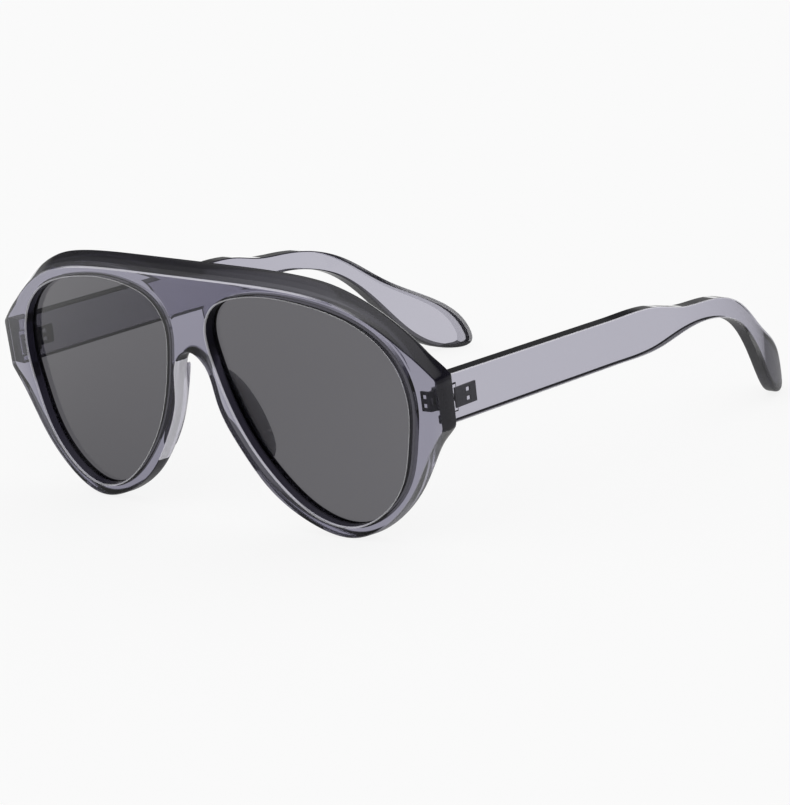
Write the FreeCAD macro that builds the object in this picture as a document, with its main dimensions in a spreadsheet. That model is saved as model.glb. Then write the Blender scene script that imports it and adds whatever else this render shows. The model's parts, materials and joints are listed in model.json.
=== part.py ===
import FreeCAD, Part
import math
import os

# Oversized sunglasses: a wrapped front with two tinted lenses, nose pads and two folding temples.
# Millimetres, +Z up. The lenses face -Y, the temples run towards +Y, and left is the wearer's left, at +X.
# The origin is on the floor, under the middle of the glasses as they stand open on their rims and tips.

Vector = FreeCAD.Vector

SIZES = (
    ("lens_width", 58.4, "width of one lens opening"),
    ("lens_height", 54.3, "height of one lens opening"),
    ("bridge_gap", 13.6, "distance between the two openings"),
    ("wrap_radius", 420.0, "radius of the front face about an upright axis"),
    ("front_tilt", 3.35, "degrees that the lower rim leans back"),
    ("rim_depth", 5.0, "front to back of the rims"),
    ("rim_nasal", 4.1, "rim beside the nose"),
    ("rim_lower", 3.1, "rim under the lens"),
    ("rim_outer", 4.0, "rim at the lower outer side"),
    ("rim_cheek", 6.8, "rim just below the endpiece"),
    ("arch_rise", 11.3, "top of the nose arch above the lens centre"),
    ("brow_height", 6.55, "top of the brow above the lens top"),
    ("brow_bevel", 3.4, "drop of the brow's bevel from its top to the front face"),
    ("bevel_depth", 3.2, "top of the brow's bevel behind the front face"),
    ("endpiece_reach", 9.35, "end face beyond the lens opening"),
    ("endpiece_top", 10.5, "upper corner of the end face above the lens centre"),
    ("endpiece_height", 12.1, "height of the end face"),
    ("endpiece_depth", 4.1, "front to back of the end face"),
    ("lens_recess", 2.5, "lens face behind the front face"),
    ("lens_thickness", 1.6, "lens"),
    ("groove_depth", 0.8, "groove that holds the lens"),
    ("lens_clearance", 0.05, "lens edge to groove floor"),
    ("pad_half_height", 11.0, "half of a nose pad's height"),
    ("pad_centre", -4.0, "middle of a nose pad above the lens centre"),
    ("pad_reach", 4.2, "half of a nose pad's front to back"),
    ("pad_half_thickness", 1.25, "half of a nose pad's thickness"),
    ("pad_splay", 30.0, "degrees that the pads open towards the back"),
    ("hinge_height", 4.9, "hinge middle above the lens centre"),
    ("hinge_inset", 5.3, "hinge axis in from the end face"),
    ("hinge_setback", 1.5, "hinge axis behind the endpiece"),
    ("knuckle_radius", 1.1, "hinge knuckle"),
    ("knuckle_length", 1.5, "one of three knuckles"),
    ("knuckle_gap", 0.1, "between knuckles"),
    ("screw_radius", 0.55, "hinge screw shank"),
    ("screw_clearance", 0.05, "shank to knuckle bore"),
    ("screw_head_radius", 0.95, "hinge screw head"),
    ("screw_head_height", 0.5, "hinge screw head"),
    ("screw_slot", 0.25, "width and depth of the screw slot"),
    ("leaf_thickness", 0.8, "hinge leaf plate"),
    ("leaf_cover", 0.6, "plastic behind the front leaf"),
    ("front_leaf_length", 2.75, "front leaf plate along the front"),
    ("temple_leaf_length", 6.8, "temple leaf plate along the temple"),
    ("leaf_bury", 2.3, "temple leaf plate outside the hinge axis"),
    ("window_length", 1.3, "window in a leaf plate"),
    ("window_height", 1.0, "window in a leaf plate"),
    ("window_pitch", 2.1, "between window centres"),
    ("hinge_clearance", 0.35, "plastic to hinge knuckles and screw head"),
    ("butt_gap", 0.1, "temple end to endpiece"),
    ("temple_inset", 0.2, "temple face in from the end face"),
    ("temple_thickness", 4.0, "temple across"),
    ("temple_length", 147.4, "temple from butt to tip in side view"),
    ("temple_drop", 0.7, "middle line of the temple's butt below the hinge middle"),
    ("temple_fall", 0.7, "degrees that the straight part falls"),
    ("temple_height", 10.9, "straight part"),
    ("neck_height", 4.9, "before the bend"),
    ("paddle_height", 12.2, "widest part of the tip"),
    ("bend_start", 91.0, "butt to the start of the ear bend"),
    ("bend_radius", 21.0, "ear bend"),
    ("bend_angle", 40.1, "degrees of the ear bend"),
    ("taper_length", 36.0, "from full height to the ear bend"),
    ("curl_start", 78.0, "butt to where the temple curls inwards"),
    ("curl_radius", 99.0, "inward curl, at mid thickness"),
)

# Eye shape from nasal (0) to temporal (1) and from bottom (0) to top (1), going round from the top. Where the
# rim's outer edge follows it, the size that the rim stands off by is named.
EYE = (
    (0.346, 1.000, None), (0.553, 0.982, None), (0.743, 0.931, None),
    (0.871, 0.857, None), (0.959, 0.749, None), (1.000, 0.571, None),
    (0.976, 0.405, "rim_cheek"), (0.922, 0.228, "rim_outer"), (0.823, 0.096, "rim_lower"),
    (0.628, 0.000, "rim_lower"), (0.431, 0.046, "rim_lower"), (0.270, 0.178, "rim_nasal"),
    (0.143, 0.348, "rim_nasal"), (0.065, 0.520, "rim_nasal"), (0.018, 0.690, "rim_nasal"),
    (0.009, 0.836, None), (0.061, 0.924, None), (0.166, 0.975, None),
)
# Brow from the middle (0) to the end face (1), and its drop from the brow top (0) to the endpiece top (1).
BROW = (
    (0.0, 0.0), (0.27, 0.009), (0.5, 0.053), (0.61, 0.115), (0.72, 0.251), (0.81, 0.423), (0.905, 0.665),
    (1.0, 1.0),
)
# Share of the bevel's drop at the places of BROW.
BEVEL_SHARE = (1.0, 1.0, 1.0, 1.0, 0.82, 0.7, 0.65, 0.2)
# The bevel runs on past the end face by this share of its last stretch.
BEVEL_RUN_ON = 0.2
KNUCKLES = ("bottom", "middle", "top")
# Temple outline: a stretch and the share of it, the full height there, the share of that height over the
# neck's, and the share above the middle line.
TEMPLE = (
    ("shank", 0.0, "temple_height", 1.1, 0.61), ("taper", 0.0, "temple_height", 1.0, 0.55),
    ("taper", 0.46, "temple_height", 0.82, 0.535), ("taper", 0.69, "temple_height", 0.22, 0.525),
    ("taper", 0.91, "temple_height", 0.0, 0.53), ("bend", 0.4, "temple_height", 0.0, 0.43),
    ("paddle", 0.0, "paddle_height", 0.0, 0.62), ("paddle", 0.35, "paddle_height", 0.22, 0.59),
    ("paddle", 0.68, "paddle_height", 0.87, 0.505),
)
# Nose pad sections from the bottom (-1) to the top (1), and their shares of the full reach and thickness.
PAD_SECTIONS = ((-1.0, 0.2, 0.6), (-0.7, 0.78, 0.89), (-0.1, 1.0, 1.0), (0.5, 0.85, 0.92), (1.0, 0.25, 0.62))

doc = FreeCAD.newDocument("sunglasses")
sheet = doc.addObject("Spreadsheet::Sheet", "sizes")
for row, (alias, value, note) in enumerate(SIZES, start=1):
    sheet.set(f"A{row}", note)
    sheet.set(f"B{row}", str(value))
    sheet.setAlias(f"B{row}", alias)
doc.recompute()


def size(alias):
    return float(sheet.get(alias))


def sag(x, depth=0.0):
    """Set-back of the wrapped front, or of a layer behind it, at a distance from the middle."""
    radius = size("wrap_radius")
    return radius - math.sqrt((radius - depth) ** 2 - x ** 2)


# Places that follow from the sizes, measured from the lens centre line on the front face.
lens_edge = size("bridge_gap") / 2
lens_top = size("lens_height") / 2
end_x = lens_edge + size("lens_width") + size("endpiece_reach")
brow_top = lens_top + size("brow_height")
butt_y = sag(end_x) + size("endpiece_depth")
temple_y = butt_y + size("butt_gap")
hinge_x = end_x - size("hinge_inset")
hinge_y = butt_y + size("hinge_setback")
hinge_z = size("hinge_height")
barrel_half = 1.5 * size("knuckle_length") + size("knuckle_gap")
temple_out = end_x - size("temple_inset")
temple_in = temple_out - size("temple_thickness")
tilt = FreeCAD.Rotation(Vector(1, 0, 0), size("front_tilt"))
reach = 2 * end_x + size("temple_length")


def temple_place(along, aside=0.0):
    """Point of the temple's side view: distance along its middle line, and distance above the line."""
    fall = math.radians(size("temple_fall"))
    turn = math.radians(size("bend_angle"))
    start = size("bend_start")
    radius = size("bend_radius")
    straight = min(along, start)
    y = temple_y + straight * math.cos(fall)
    z = hinge_z - size("temple_drop") - straight * math.sin(fall)
    angle = min(max(along - start, 0.0) / radius, turn)
    y += radius * (math.sin(fall + angle) - math.sin(fall))
    z -= radius * (math.cos(fall) - math.cos(fall + angle))
    rest = max(along - start - radius * turn, 0.0)
    heading = fall + angle
    y += rest * math.cos(heading) + aside * math.sin(heading)
    z += aside * math.cos(heading) - rest * math.sin(heading)
    return Vector(0, y, z)


def smooth(points, closed=False):
    curve = Part.BSplineCurve()
    curve.interpolate(Points=points, PeriodicFlag=closed)
    return curve


def spans(curve):
    """Edges of a smooth curve, one for each stretch between its points."""
    edges = []
    knots = curve.getKnots()
    for first, last in zip(knots[:-1], knots[1:]):
        stretch = curve.copy()
        stretch.segment(first, last)
        edges.append(stretch.toShape())
    return edges


def off_eye(point, width):
    """Point off the eye shape, straight out from it, by a rim width or a groove depth."""
    along = eye_curve.tangent(eye_curve.parameter(point))[0]
    outward = Vector(along.z, 0, -along.x)
    if outward.dot(point - eye_middle) < 0:
        outward = -outward
    return point + outward.normalize() * width


def eye_place(across, up):
    return Vector(lens_edge + across * size("lens_width"), 0, (up - 0.5) * size("lens_height"))


eye_points = [eye_place(across, up) for across, up, _ in EYE]
eye_middle = eye_place(0.5, 0.5)
eye_curve = smooth(eye_points, closed=True)
rims = [(rim, off_eye(point, size(rim))) for point, (_, _, rim) in zip(eye_points, EYE) if rim]
rim_points = [point for _, point in rims]
flank_points = [point for rim, point in rims if rim == "rim_nasal"]


def eye_outline(width):
    """Closed outline of the lens opening, or of a line that stands off it."""
    return Part.Wire(spans(smooth([off_eye(point, width) for point in eye_points], closed=True)))


def front_outline():
    """Half outline of the front, mirrored: brow, end face, outer rim, nasal flank and nose arch."""
    drop = brow_top - size("endpiece_top")
    brow = [Vector(a * end_x, 0, brow_top - b * drop) for a, b in BROW]
    corner = Vector(end_x, 0, size("endpiece_top") - size("endpiece_height"))
    arch = Vector(0, 0, size("arch_rise"))
    left = [corner] + rim_points
    right = [Vector(-point.x, 0, point.z) for point in left]
    back_brow = [Vector(-point.x, 0, point.z) for point in brow[:0:-1]] + brow
    under = left + [arch] + right[::-1]
    ends = [Part.LineSegment(brow[-1], corner), Part.LineSegment(right[0], back_brow[0])]
    edges = spans(smooth(back_brow)) + spans(smooth(under)) + [line.toShape() for line in ends]
    return Part.Wire(Part.__sortEdges__(edges))


def temple_outline():
    """Side view of the temple, from before its butt: straight shank edges, then one curve round the tip."""
    length = size("temple_length")
    bend_start = size("bend_start")
    taper_start = bend_start - size("taper_length")
    bend_end = bend_start + size("bend_radius") * math.radians(size("bend_angle"))
    stretches = {"shank": (-size("temple_thickness"), taper_start), "taper": (taper_start, bend_start),
                 "bend": (bend_start, bend_end), "paddle": (bend_end, length)}
    top = []
    bottom = []
    for stretch, share, full, height_share, above in TEMPLE:
        start, end = stretches[stretch]
        along = start + share * (end - start)
        height = size("neck_height") + height_share * (size(full) - size("neck_height"))
        top.append(temple_place(along, above * height))
        bottom.append(temple_place(along, (above - 1) * height))
    round_tip = size("paddle_height") / 3
    tip = [temple_place(length - round_tip, round_tip), temple_place(length),
           temple_place(length - round_tip, -round_tip)]
    round_edge = Part.BSplineCurve()
    round_edge.interpolate(Points=top[1:] + tip + bottom[:0:-1],
                           InitialTangent=top[1] - top[0], FinalTangent=bottom[0] - bottom[1])
    lines = ((bottom[1], bottom[0]), (bottom[0], top[0]), (top[0], top[1]))
    edges = spans(round_edge) + [Part.LineSegment(*ends).toShape() for ends in lines]
    return Part.Wire(Part.__sortEdges__(edges))


# The glasses stand on the floor, and the origin is half way from the brow to the tips.
lowest = min(rim_points, key=lambda point: point.z)
rim_foot = tilt.multVec(Vector(lowest.x, sag(lowest.x), front_outline().optimalBoundingBox().ZMin))
brow_front = tilt.multVec(Vector(0, 0, brow_top - size("brow_bevel")))
temple_box = temple_outline().optimalBoundingBox()
stand = Vector(0, -(brow_front.y + temple_box.YMax) / 2, -min(rim_foot.z, temple_box.ZMin))
LEVEL = FreeCAD.Placement(stand, FreeCAD.Rotation())
TILTED = FreeCAD.Placement(stand, tilt)


def shape_feature(name, shape, placement):
    obj = doc.addObject("Part::Feature", name)
    obj.Shape = shape
    obj.Placement = placement
    return obj


def bound(kind, name, placement, sizes):
    """A primitive whose sizes are bound to the sheet."""
    obj = doc.addObject(kind, name)
    for prop, expression in sizes.items():
        obj.setExpression(prop, expression)
    obj.Placement = placement
    return obj


def at(frame, x, y, z):
    return frame.multiply(FreeCAD.Placement(Vector(x, y, z), FreeCAD.Rotation()))


def cut(name, base, tool):
    obj = doc.addObject("Part::Cut", name)
    obj.Base = base
    obj.Tool = tool
    return obj


def common(name, base, tool):
    obj = doc.addObject("Part::Common", name)
    obj.Base = base
    obj.Tool = tool
    return obj


def fuse(name, shapes):
    obj = doc.addObject("Part::MultiFuse", name)
    obj.Shapes = shapes
    obj.Refine = True
    return obj


def prism(name, outline):
    """A closed outline carried both ways along its normal."""
    obj = doc.addObject("Part::Extrusion", name)
    obj.Base = outline
    obj.DirMode = "Normal"
    obj.LengthFwd = reach
    obj.Symmetric = True
    obj.Solid = True
    return obj


def mirrored(name, source):
    obj = doc.addObject("Part::Mirroring", name)
    obj.Source = source
    obj.Base = Vector(0, 0, 0)
    obj.Normal = Vector(1, 0, 0)
    return obj


def layer(name, front, back):
    """Wall between two cylinders about the front's wrap axis, given by their depths behind the front face."""
    walls = []
    for side, depth in (("outer", front), ("inner", back)):
        place = at(TILTED, 0, size("wrap_radius"), -reach / 2)
        radius = {"Radius": f"sizes.wrap_radius - ({depth})"}
        walls.append(bound("Part::Cylinder", f"{name}_{side}", place, radius))
        walls[-1].Height = reach
    return cut(name, walls[0], walls[1])


def brow_bevel_tool():
    """Everything above the brow's sloped face, which climbs from the front face to the brow's top."""
    depth = size("bevel_depth")
    drop = brow_top - size("endpiece_top")
    margin = depth / 5
    front_points = []
    back_points = []
    for (a, b), share in zip(BROW, BEVEL_SHARE):
        x = a * end_x
        top = brow_top - b * drop
        lift = share * size("brow_bevel")
        over = lift * margin / depth
        front_points.append(Vector(x, sag(x) - margin, top - lift - over))
        back_points.append(Vector(x, sag(x, depth) + margin, top + over))
    for points in (front_points, back_points):
        points.append(points[-1] + (points[-1] - points[-2]) * BEVEL_RUN_ON)
    curves = []
    for points in (front_points, back_points):
        mirror_side = [Vector(-point.x, point.y, point.z) for point in points[:0:-1]]
        curves.append(smooth(mirror_side + points).toShape())
    return Part.makeRuledSurface(*curves).extrude(Vector(0, 0, brow_top))


def pad_blank():
    """Loft of upright stacked ellipses along the nasal flank, opening towards the back."""
    flank = smooth(flank_points)
    sections = []
    for index, (height, reach_share, thickness_share) in enumerate(PAD_SECTIONS):
        z = size("pad_centre") + height * size("pad_half_height")
        x = flank.intersect(Part.LineSegment(Vector(-reach, 0, z), Vector(reach, 0, z)))[0].X
        splay = FreeCAD.Rotation(Vector(0, 0, 1), 90 - size("pad_splay"))
        out = reach_share * size("pad_reach") * math.sin(math.radians(size("pad_splay")))
        place = FreeCAD.Placement(Vector(x + size("pad_half_thickness") + out, size("rim_depth"), z), splay)
        section = bound("Part::Ellipse", f"pad_section_{index}", TILTED.multiply(place), {
            "MajorRadius": f"sizes.pad_reach * {reach_share}",
            "MinorRadius": f"sizes.pad_half_thickness * {thickness_share}",
        })
        sections.append(section)
    loft = doc.addObject("Part::Loft", "pad_blank")
    loft.Sections = sections
    loft.Solid = True
    return loft


def knuckle_foot(level):
    """Height of the lower end of one of the three knuckles."""
    return hinge_z - barrel_half + KNUCKLES.index(level) * (size("knuckle_length") + size("knuckle_gap"))


def knuckle(name, level):
    return bound("Part::Cylinder", name, at(LEVEL, hinge_x, hinge_y, knuckle_foot(level)), {
        "Radius": "sizes.knuckle_radius", "Height": "sizes.knuckle_length"})


def hinge_bore(name):
    place = at(LEVEL, hinge_x, hinge_y, hinge_z - 2 * barrel_half)
    bore = bound("Part::Cylinder", name, place, {"Radius": "sizes.screw_radius + sizes.screw_clearance"})
    bore.Height = 4 * barrel_half
    return bore


def windows(name, base, frame_x, frame_y, along):
    """Two windows cut through a leaf plate, one above the other."""
    through = {"x": ("Length", "Width"), "y": ("Width", "Length")}[along]
    result = base
    for index, side in enumerate((-1, 1)):
        z = hinge_z + side * size("window_pitch") / 2 - size("window_height") / 2
        hole = bound("Part::Box", f"{name}_{index}", at(LEVEL, frame_x, frame_y, z), {
            through[0]: "sizes.window_length", "Height": "sizes.window_height",
            through[1]: "sizes.leaf_thickness * 3"})
        result = cut(f"{name}_cut_{index}", result, hole)
    return result


def front_leaf():
    """Plate in the endpiece, with two tabs that carry the outer knuckles."""
    plate_y = butt_y - size("leaf_cover") - size("leaf_thickness")
    tab_x = hinge_x - size("leaf_thickness") / 2
    plate_x = tab_x + size("leaf_thickness") - size("front_leaf_length")
    plate = bound("Part::Box", "front_leaf_plate", at(LEVEL, plate_x, plate_y, hinge_z - barrel_half), {
        "Length": "sizes.front_leaf_length", "Width": "sizes.leaf_thickness",
        "Height": "3 * sizes.knuckle_length + 2 * sizes.knuckle_gap"})
    pieces = [plate]
    for level in ("bottom", "top"):
        tab = bound("Part::Box", f"front_leaf_tab_{level}", at(LEVEL, tab_x, plate_y, knuckle_foot(level)), {
            "Length": "sizes.leaf_thickness", "Height": "sizes.knuckle_length",
            "Width": "sizes.leaf_thickness + sizes.leaf_cover + sizes.hinge_setback"})
        pieces += [tab, knuckle(f"front_knuckle_{level}", level)]
    bored = cut("front_leaf_bored", fuse("front_leaf_solid", pieces), hinge_bore("front_bore"))
    window_x = plate_x + (size("front_leaf_length") - size("leaf_thickness") - size("window_length")) / 2
    return windows("front_window", bored, window_x, plate_y - size("leaf_thickness"), "x")


def temple_leaf():
    """Plate in the temple, with one tab that carries the middle knuckle."""
    plate_x = hinge_x + size("leaf_bury")
    tab_y = hinge_y + size("knuckle_radius") - size("leaf_thickness")
    plate = bound("Part::Box", "temple_leaf_plate", at(LEVEL, plate_x, tab_y, hinge_z - barrel_half), {
        "Length": "sizes.leaf_thickness", "Width": "sizes.temple_leaf_length",
        "Height": "3 * sizes.knuckle_length + 2 * sizes.knuckle_gap"})
    tab = bound("Part::Box", "temple_leaf_tab", at(LEVEL, hinge_x, tab_y, knuckle_foot("middle")), {
        "Length": "sizes.leaf_bury + sizes.leaf_thickness", "Width": "sizes.leaf_thickness",
        "Height": "sizes.knuckle_length"})
    solid = fuse("temple_leaf_solid", [plate, tab, knuckle("temple_knuckle", "middle")])
    bored = cut("temple_leaf_bored", solid, hinge_bore("temple_bore"))
    window_y = tab_y + size("leaf_thickness") + (size("temple_leaf_length") - size("window_length")) / 2
    return windows("temple_window", bored, plate_x - size("leaf_thickness"), window_y, "y")


def hinge_screw():
    """Slotted screw: its shank runs through the knuckles and its head sits on the top one."""
    shank = bound("Part::Cylinder", "screw_shank", at(LEVEL, hinge_x, hinge_y, hinge_z - barrel_half), {
        "Radius": "sizes.screw_radius", "Height": "3 * sizes.knuckle_length + 2 * sizes.knuckle_gap"})
    head = bound("Part::Cylinder", "screw_head", at(LEVEL, hinge_x, hinge_y, hinge_z + barrel_half), {
        "Radius": "sizes.screw_head_radius", "Height": "sizes.screw_head_height"})
    slot_x = hinge_x - 2 * size("screw_head_radius")
    slot_y = hinge_y - size("screw_slot") / 2
    slot_z = hinge_z + barrel_half + size("screw_head_height") - size("screw_slot")
    slot = bound("Part::Box", "screw_slot", at(LEVEL, slot_x, slot_y, slot_z), {
        "Length": "4 * sizes.screw_head_radius", "Width": "sizes.screw_slot",
        "Height": "2 * sizes.screw_slot"})
    return cut("screw_slotted", fuse("screw_solid", [shank, head]), slot)


def temple_plan():
    """Plan of the temple from its butt: a straight band that curls inwards on a long arc."""
    half = size("temple_thickness") / 2
    curl_y = temple_y + size("curl_start")
    centre = Vector((temple_in + temple_out) / 2 - size("curl_radius"), curl_y, 0)
    past_tip = temple_box.YMax + half - curl_y
    sweep = math.asin(past_tip / (size("curl_radius") - half))
    edges = []
    butts = []
    tips = []
    for radius in (size("curl_radius") - half, size("curl_radius") + half):
        turns = (0, sweep / 2, sweep)
        arc = [centre + Vector(radius * math.cos(turn), radius * math.sin(turn), 0) for turn in turns]
        butts.append(Vector(arc[0].x, temple_y, 0))
        tips.append(arc[-1])
        edges += [Part.LineSegment(butts[-1], arc[0]).toShape(), Part.Arc(*arc).toShape()]
    edges += [Part.LineSegment(*butts).toShape(), Part.LineSegment(*tips).toShape()]
    return Part.Wire(Part.__sortEdges__(edges))


def hinge_notch():
    """Room in the temple's inner corner for the knuckles and the screw head."""
    clear = size("hinge_clearance")
    start_x = temple_in - size("temple_thickness")
    start_y = temple_y - size("temple_thickness")
    place = at(LEVEL, start_x, start_y, hinge_z - barrel_half - clear)
    notch = doc.addObject("Part::Box", "hinge_notch")
    notch.Length = hinge_x + size("knuckle_radius") + clear - start_x
    notch.Width = hinge_y + size("knuckle_radius") + clear - start_y
    notch.Height = 2 * barrel_half + size("screw_head_height") + 2 * clear
    notch.Placement = place
    return notch


# Lenses and the front that holds them.
lens_stand_off = size("groove_depth") - size("lens_clearance")
opening = shape_feature("opening", eye_outline(0.0), TILTED)
seat_outline = shape_feature("seat_outline", eye_outline(size("groove_depth")), TILTED)
lens_outline = shape_feature("lens_outline", eye_outline(lens_stand_off), TILTED)
lens_layer = layer("lens_layer", "sizes.lens_recess", "sizes.lens_recess + sizes.lens_thickness")
left_lens = common("left_lens", lens_layer, prism("lens_prism", lens_outline))
lens_seat = common("lens_seat", lens_layer, prism("seat_prism", seat_outline))
opening_prism = prism("opening_prism", opening)

front_layer = layer("front_layer", "0", "sizes.rim_depth")
front_prism = prism("front_prism", shape_feature("front_outline", front_outline(), TILTED))
front_blank = common("front_blank", front_layer, front_prism)
front = cut("front_bevelled", front_blank, shape_feature("brow_bevel_tool", brow_bevel_tool(), TILTED))
for index, tool in enumerate((opening_prism, lens_seat)):
    front = cut(f"front_left_{index}", front, tool)
    front = cut(f"front_right_{index}", front, mirrored(f"right_tool_{index}", tool))

# Hinges: flat seats for the temples, then the leaves set into the plastic.
left_front_leaf = front_leaf()
right_front_leaf = mirrored("right_front_leaf", left_front_leaf)
seat_x = hinge_x - 2 * size("knuckle_radius")
left_butt = doc.addObject("Part::Box", "left_butt")
left_butt.Length = end_x
left_butt.Width = reach
left_butt.Height = reach
left_butt.Placement = at(LEVEL, seat_x, butt_y, -reach / 2)
for name, tool in (("butt", left_butt), ("leaf", left_front_leaf)):
    front = cut(f"front_left_{name}", front, tool)
    front = cut(f"front_right_{name}", front, mirrored(f"right_{name}_tool", tool))

left_pad = cut("left_pad", pad_blank(), front_blank)
left_temple_leaf = temple_leaf()
profile = prism("temple_side", shape_feature("temple_outline", temple_outline(), LEVEL))
band = prism("temple_band", shape_feature("temple_plan", temple_plan(), LEVEL))
left_temple = cut("temple_notched", common("temple_blank", profile, band), hinge_notch())
left_temple = cut("left_temple", left_temple, left_temple_leaf)
left_screw = hinge_screw()

nodes = {"front_frame": front}
pairs = {"lens": left_lens, "nose_pad": left_pad, "front_hinge_leaf": left_front_leaf,
         "temple_hinge_leaf": left_temple_leaf, "hinge_screw": left_screw, "temple": left_temple}
for name, left in pairs.items():
    nodes[f"left_{name}"] = left
    nodes[f"right_{name}"] = mirrored(f"mirror_{name}", left)
for label, obj in nodes.items():
    obj.Label = label

doc.recompute()
for obj in doc.Objects:
    if "Invalid" in obj.State or "Error" in obj.State:
        raise RuntimeError(f"{obj.Name} failed to recompute: {obj.State}")
for label, obj in nodes.items():
    if obj.Shape.isNull() or not obj.Shape.isValid():
        raise RuntimeError(f"{label} has no valid shape")

os.makedirs("parts", exist_ok=True)
for label, obj in nodes.items():
    obj.Shape.exportStep(f"parts/{label}.step")
    box = obj.Shape.optimalBoundingBox()
    spread = ", ".join(f"{low:.2f} to {high:.2f}" for low, high in (
        (box.XMin, box.XMax), (box.YMin, box.YMax), (box.ZMin, box.ZMax)))
    print(f"{label}: {len(obj.Shape.Solids)} solid, {obj.Shape.Volume:.2f} mm3, x y z {spread}")
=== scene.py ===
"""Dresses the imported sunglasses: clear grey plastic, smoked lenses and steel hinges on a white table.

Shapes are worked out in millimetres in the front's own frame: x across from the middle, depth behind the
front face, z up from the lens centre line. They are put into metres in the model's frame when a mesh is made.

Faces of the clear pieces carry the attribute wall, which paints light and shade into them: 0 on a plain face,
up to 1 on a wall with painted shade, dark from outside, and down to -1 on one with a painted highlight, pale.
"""
import json
import logging
import math
from dataclasses import dataclass, field
from enum import Enum

import bmesh
import bpy
import numpy as np
from mathutils import Matrix, Vector


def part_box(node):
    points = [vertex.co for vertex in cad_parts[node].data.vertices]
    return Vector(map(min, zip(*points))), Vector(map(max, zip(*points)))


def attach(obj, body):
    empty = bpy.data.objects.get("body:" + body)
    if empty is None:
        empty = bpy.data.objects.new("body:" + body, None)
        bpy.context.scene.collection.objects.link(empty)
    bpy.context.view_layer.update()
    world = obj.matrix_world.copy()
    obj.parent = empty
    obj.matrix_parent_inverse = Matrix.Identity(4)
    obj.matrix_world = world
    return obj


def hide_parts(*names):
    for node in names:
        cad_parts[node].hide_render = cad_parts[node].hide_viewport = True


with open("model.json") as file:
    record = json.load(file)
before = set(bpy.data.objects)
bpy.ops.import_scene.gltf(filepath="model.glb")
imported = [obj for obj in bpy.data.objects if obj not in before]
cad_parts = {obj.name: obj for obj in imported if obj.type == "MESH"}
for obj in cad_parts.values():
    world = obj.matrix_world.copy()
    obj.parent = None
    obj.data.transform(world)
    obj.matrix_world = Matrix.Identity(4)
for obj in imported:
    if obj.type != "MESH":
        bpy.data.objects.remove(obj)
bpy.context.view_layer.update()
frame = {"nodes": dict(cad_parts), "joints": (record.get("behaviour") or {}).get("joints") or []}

MM = 0.001
ROUND_FACES = 4
# Ends of the wall attribute: full painted shade and full painted highlight.
PAINTED_SHADE = 1.0
PAINTED_HIGHLIGHT = -1.0
log = logging.getLogger("sunglasses")


class Side(Enum):
    """The wearer's two sides, with the sign of x on each."""

    LEFT = 1
    RIGHT = -1

    def node(self, piece: str) -> str:
        """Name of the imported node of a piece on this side."""
        return f"{self.name.lower()}_{piece}"


def smoothstep(values: np.ndarray, low: float, high: float) -> np.ndarray:
    """Rise from 0 at low to 1 at high, flat at both ends: 3 s^2 - 2 s^3.

    Args:
        values: Where to work it out.
        low: Value at which the rise starts; it may be above high.
        high: Value at which the rise ends.

    Returns:
        The rise, from 0 to 1.
    """
    share = np.clip((np.asarray(values, float) - low) / (high - low), 0.0, 1.0)
    return share * share * (3.0 - 2.0 * share)


@dataclass
class SmoothCurve:
    """Cubic curve through points in a plane, by chord length, with steady bending from span to span.

    The slopes m solve h1 m0 + 2 (h0 + h1) m1 + h0 m2 = 3 (h1 e0 + h0 e1), where h are the lengths and e the
    directions of the spans before and after a point.

    Attributes:
        points: The points, one row each.
        closed: Whether the curve runs back to its first point.
        ends: Directions at the two ends of an open curve, or None for ends that don't bend.
    """

    points: np.ndarray
    closed: bool = False
    ends: tuple[np.ndarray, np.ndarray] | None = None
    knots: np.ndarray = field(init=False)
    corners: np.ndarray = field(init=False)
    slopes: np.ndarray = field(init=False)

    def __post_init__(self) -> None:
        """Solve for the slopes at the points."""
        points = np.asarray(self.points, float)
        self.corners = np.vstack([points, points[:1]]) if self.closed else points
        spans = np.diff(self.corners, axis=0)
        lengths = np.linalg.norm(spans, axis=1)
        self.knots = np.concatenate([[0.0], np.cumsum(lengths)])
        speeds = spans / lengths[:, None]
        count = len(points)
        index = np.arange(count)
        before, after = (index - 1) % count, (index + 1) % count
        before_span, after_span = (index - 1) % len(lengths), index % len(lengths)
        matrix = np.zeros((count, count))
        matrix[index, before] += lengths[after_span]
        matrix[index, index] += 2.0 * (lengths[before_span] + lengths[after_span])
        matrix[index, after] += lengths[before_span]
        right = 3.0 * (lengths[after_span, None] * speeds[before_span]
                       + lengths[before_span, None] * speeds[after_span])
        if not self.closed:
            matrix[[0, -1]] = 0.0
            if self.ends is None:
                matrix[0, :2] = 2.0, 1.0
                matrix[-1, -2:] = 1.0, 2.0
                right[0], right[-1] = 3.0 * speeds[0], 3.0 * speeds[-1]
            else:
                matrix[0, 0] = matrix[-1, -1] = 1.0
                right[0], right[-1] = self.ends
        solved = np.linalg.solve(matrix, right)
        self.slopes = np.vstack([solved, solved[:1]]) if self.closed else solved

    def at(self, where: np.ndarray) -> np.ndarray:
        """Points of the curve: the cubic blend of a span's two ends and of the slopes there.

        Args:
            where: Chord lengths from the first point.

        Returns:
            One row for each place.
        """
        span = np.clip(np.searchsorted(self.knots, where, side="right") - 1, 0, len(self.knots) - 2)
        length = (self.knots[span + 1] - self.knots[span])[:, None]
        s = (where - self.knots[span])[:, None] / length
        return ((1 + 2 * s) * (1 - s) ** 2 * self.corners[span]
                + s * (1 - s) ** 2 * length * self.slopes[span]
                + s ** 2 * (3 - 2 * s) * self.corners[span + 1]
                + s ** 2 * (s - 1) * length * self.slopes[span + 1])

    def sweep(self, start: float, end: float, count: int) -> np.ndarray:
        """Evenly spread points from one chord length to another."""
        return self.at(np.linspace(start, end, count))


def arc_lengths(path: np.ndarray) -> np.ndarray:
    """Distance along a polyline, in its first two columns, up to each of its points."""
    return np.concatenate([[0.0], np.cumsum(np.linalg.norm(np.diff(path[:, :2], axis=0), axis=1))])


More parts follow.
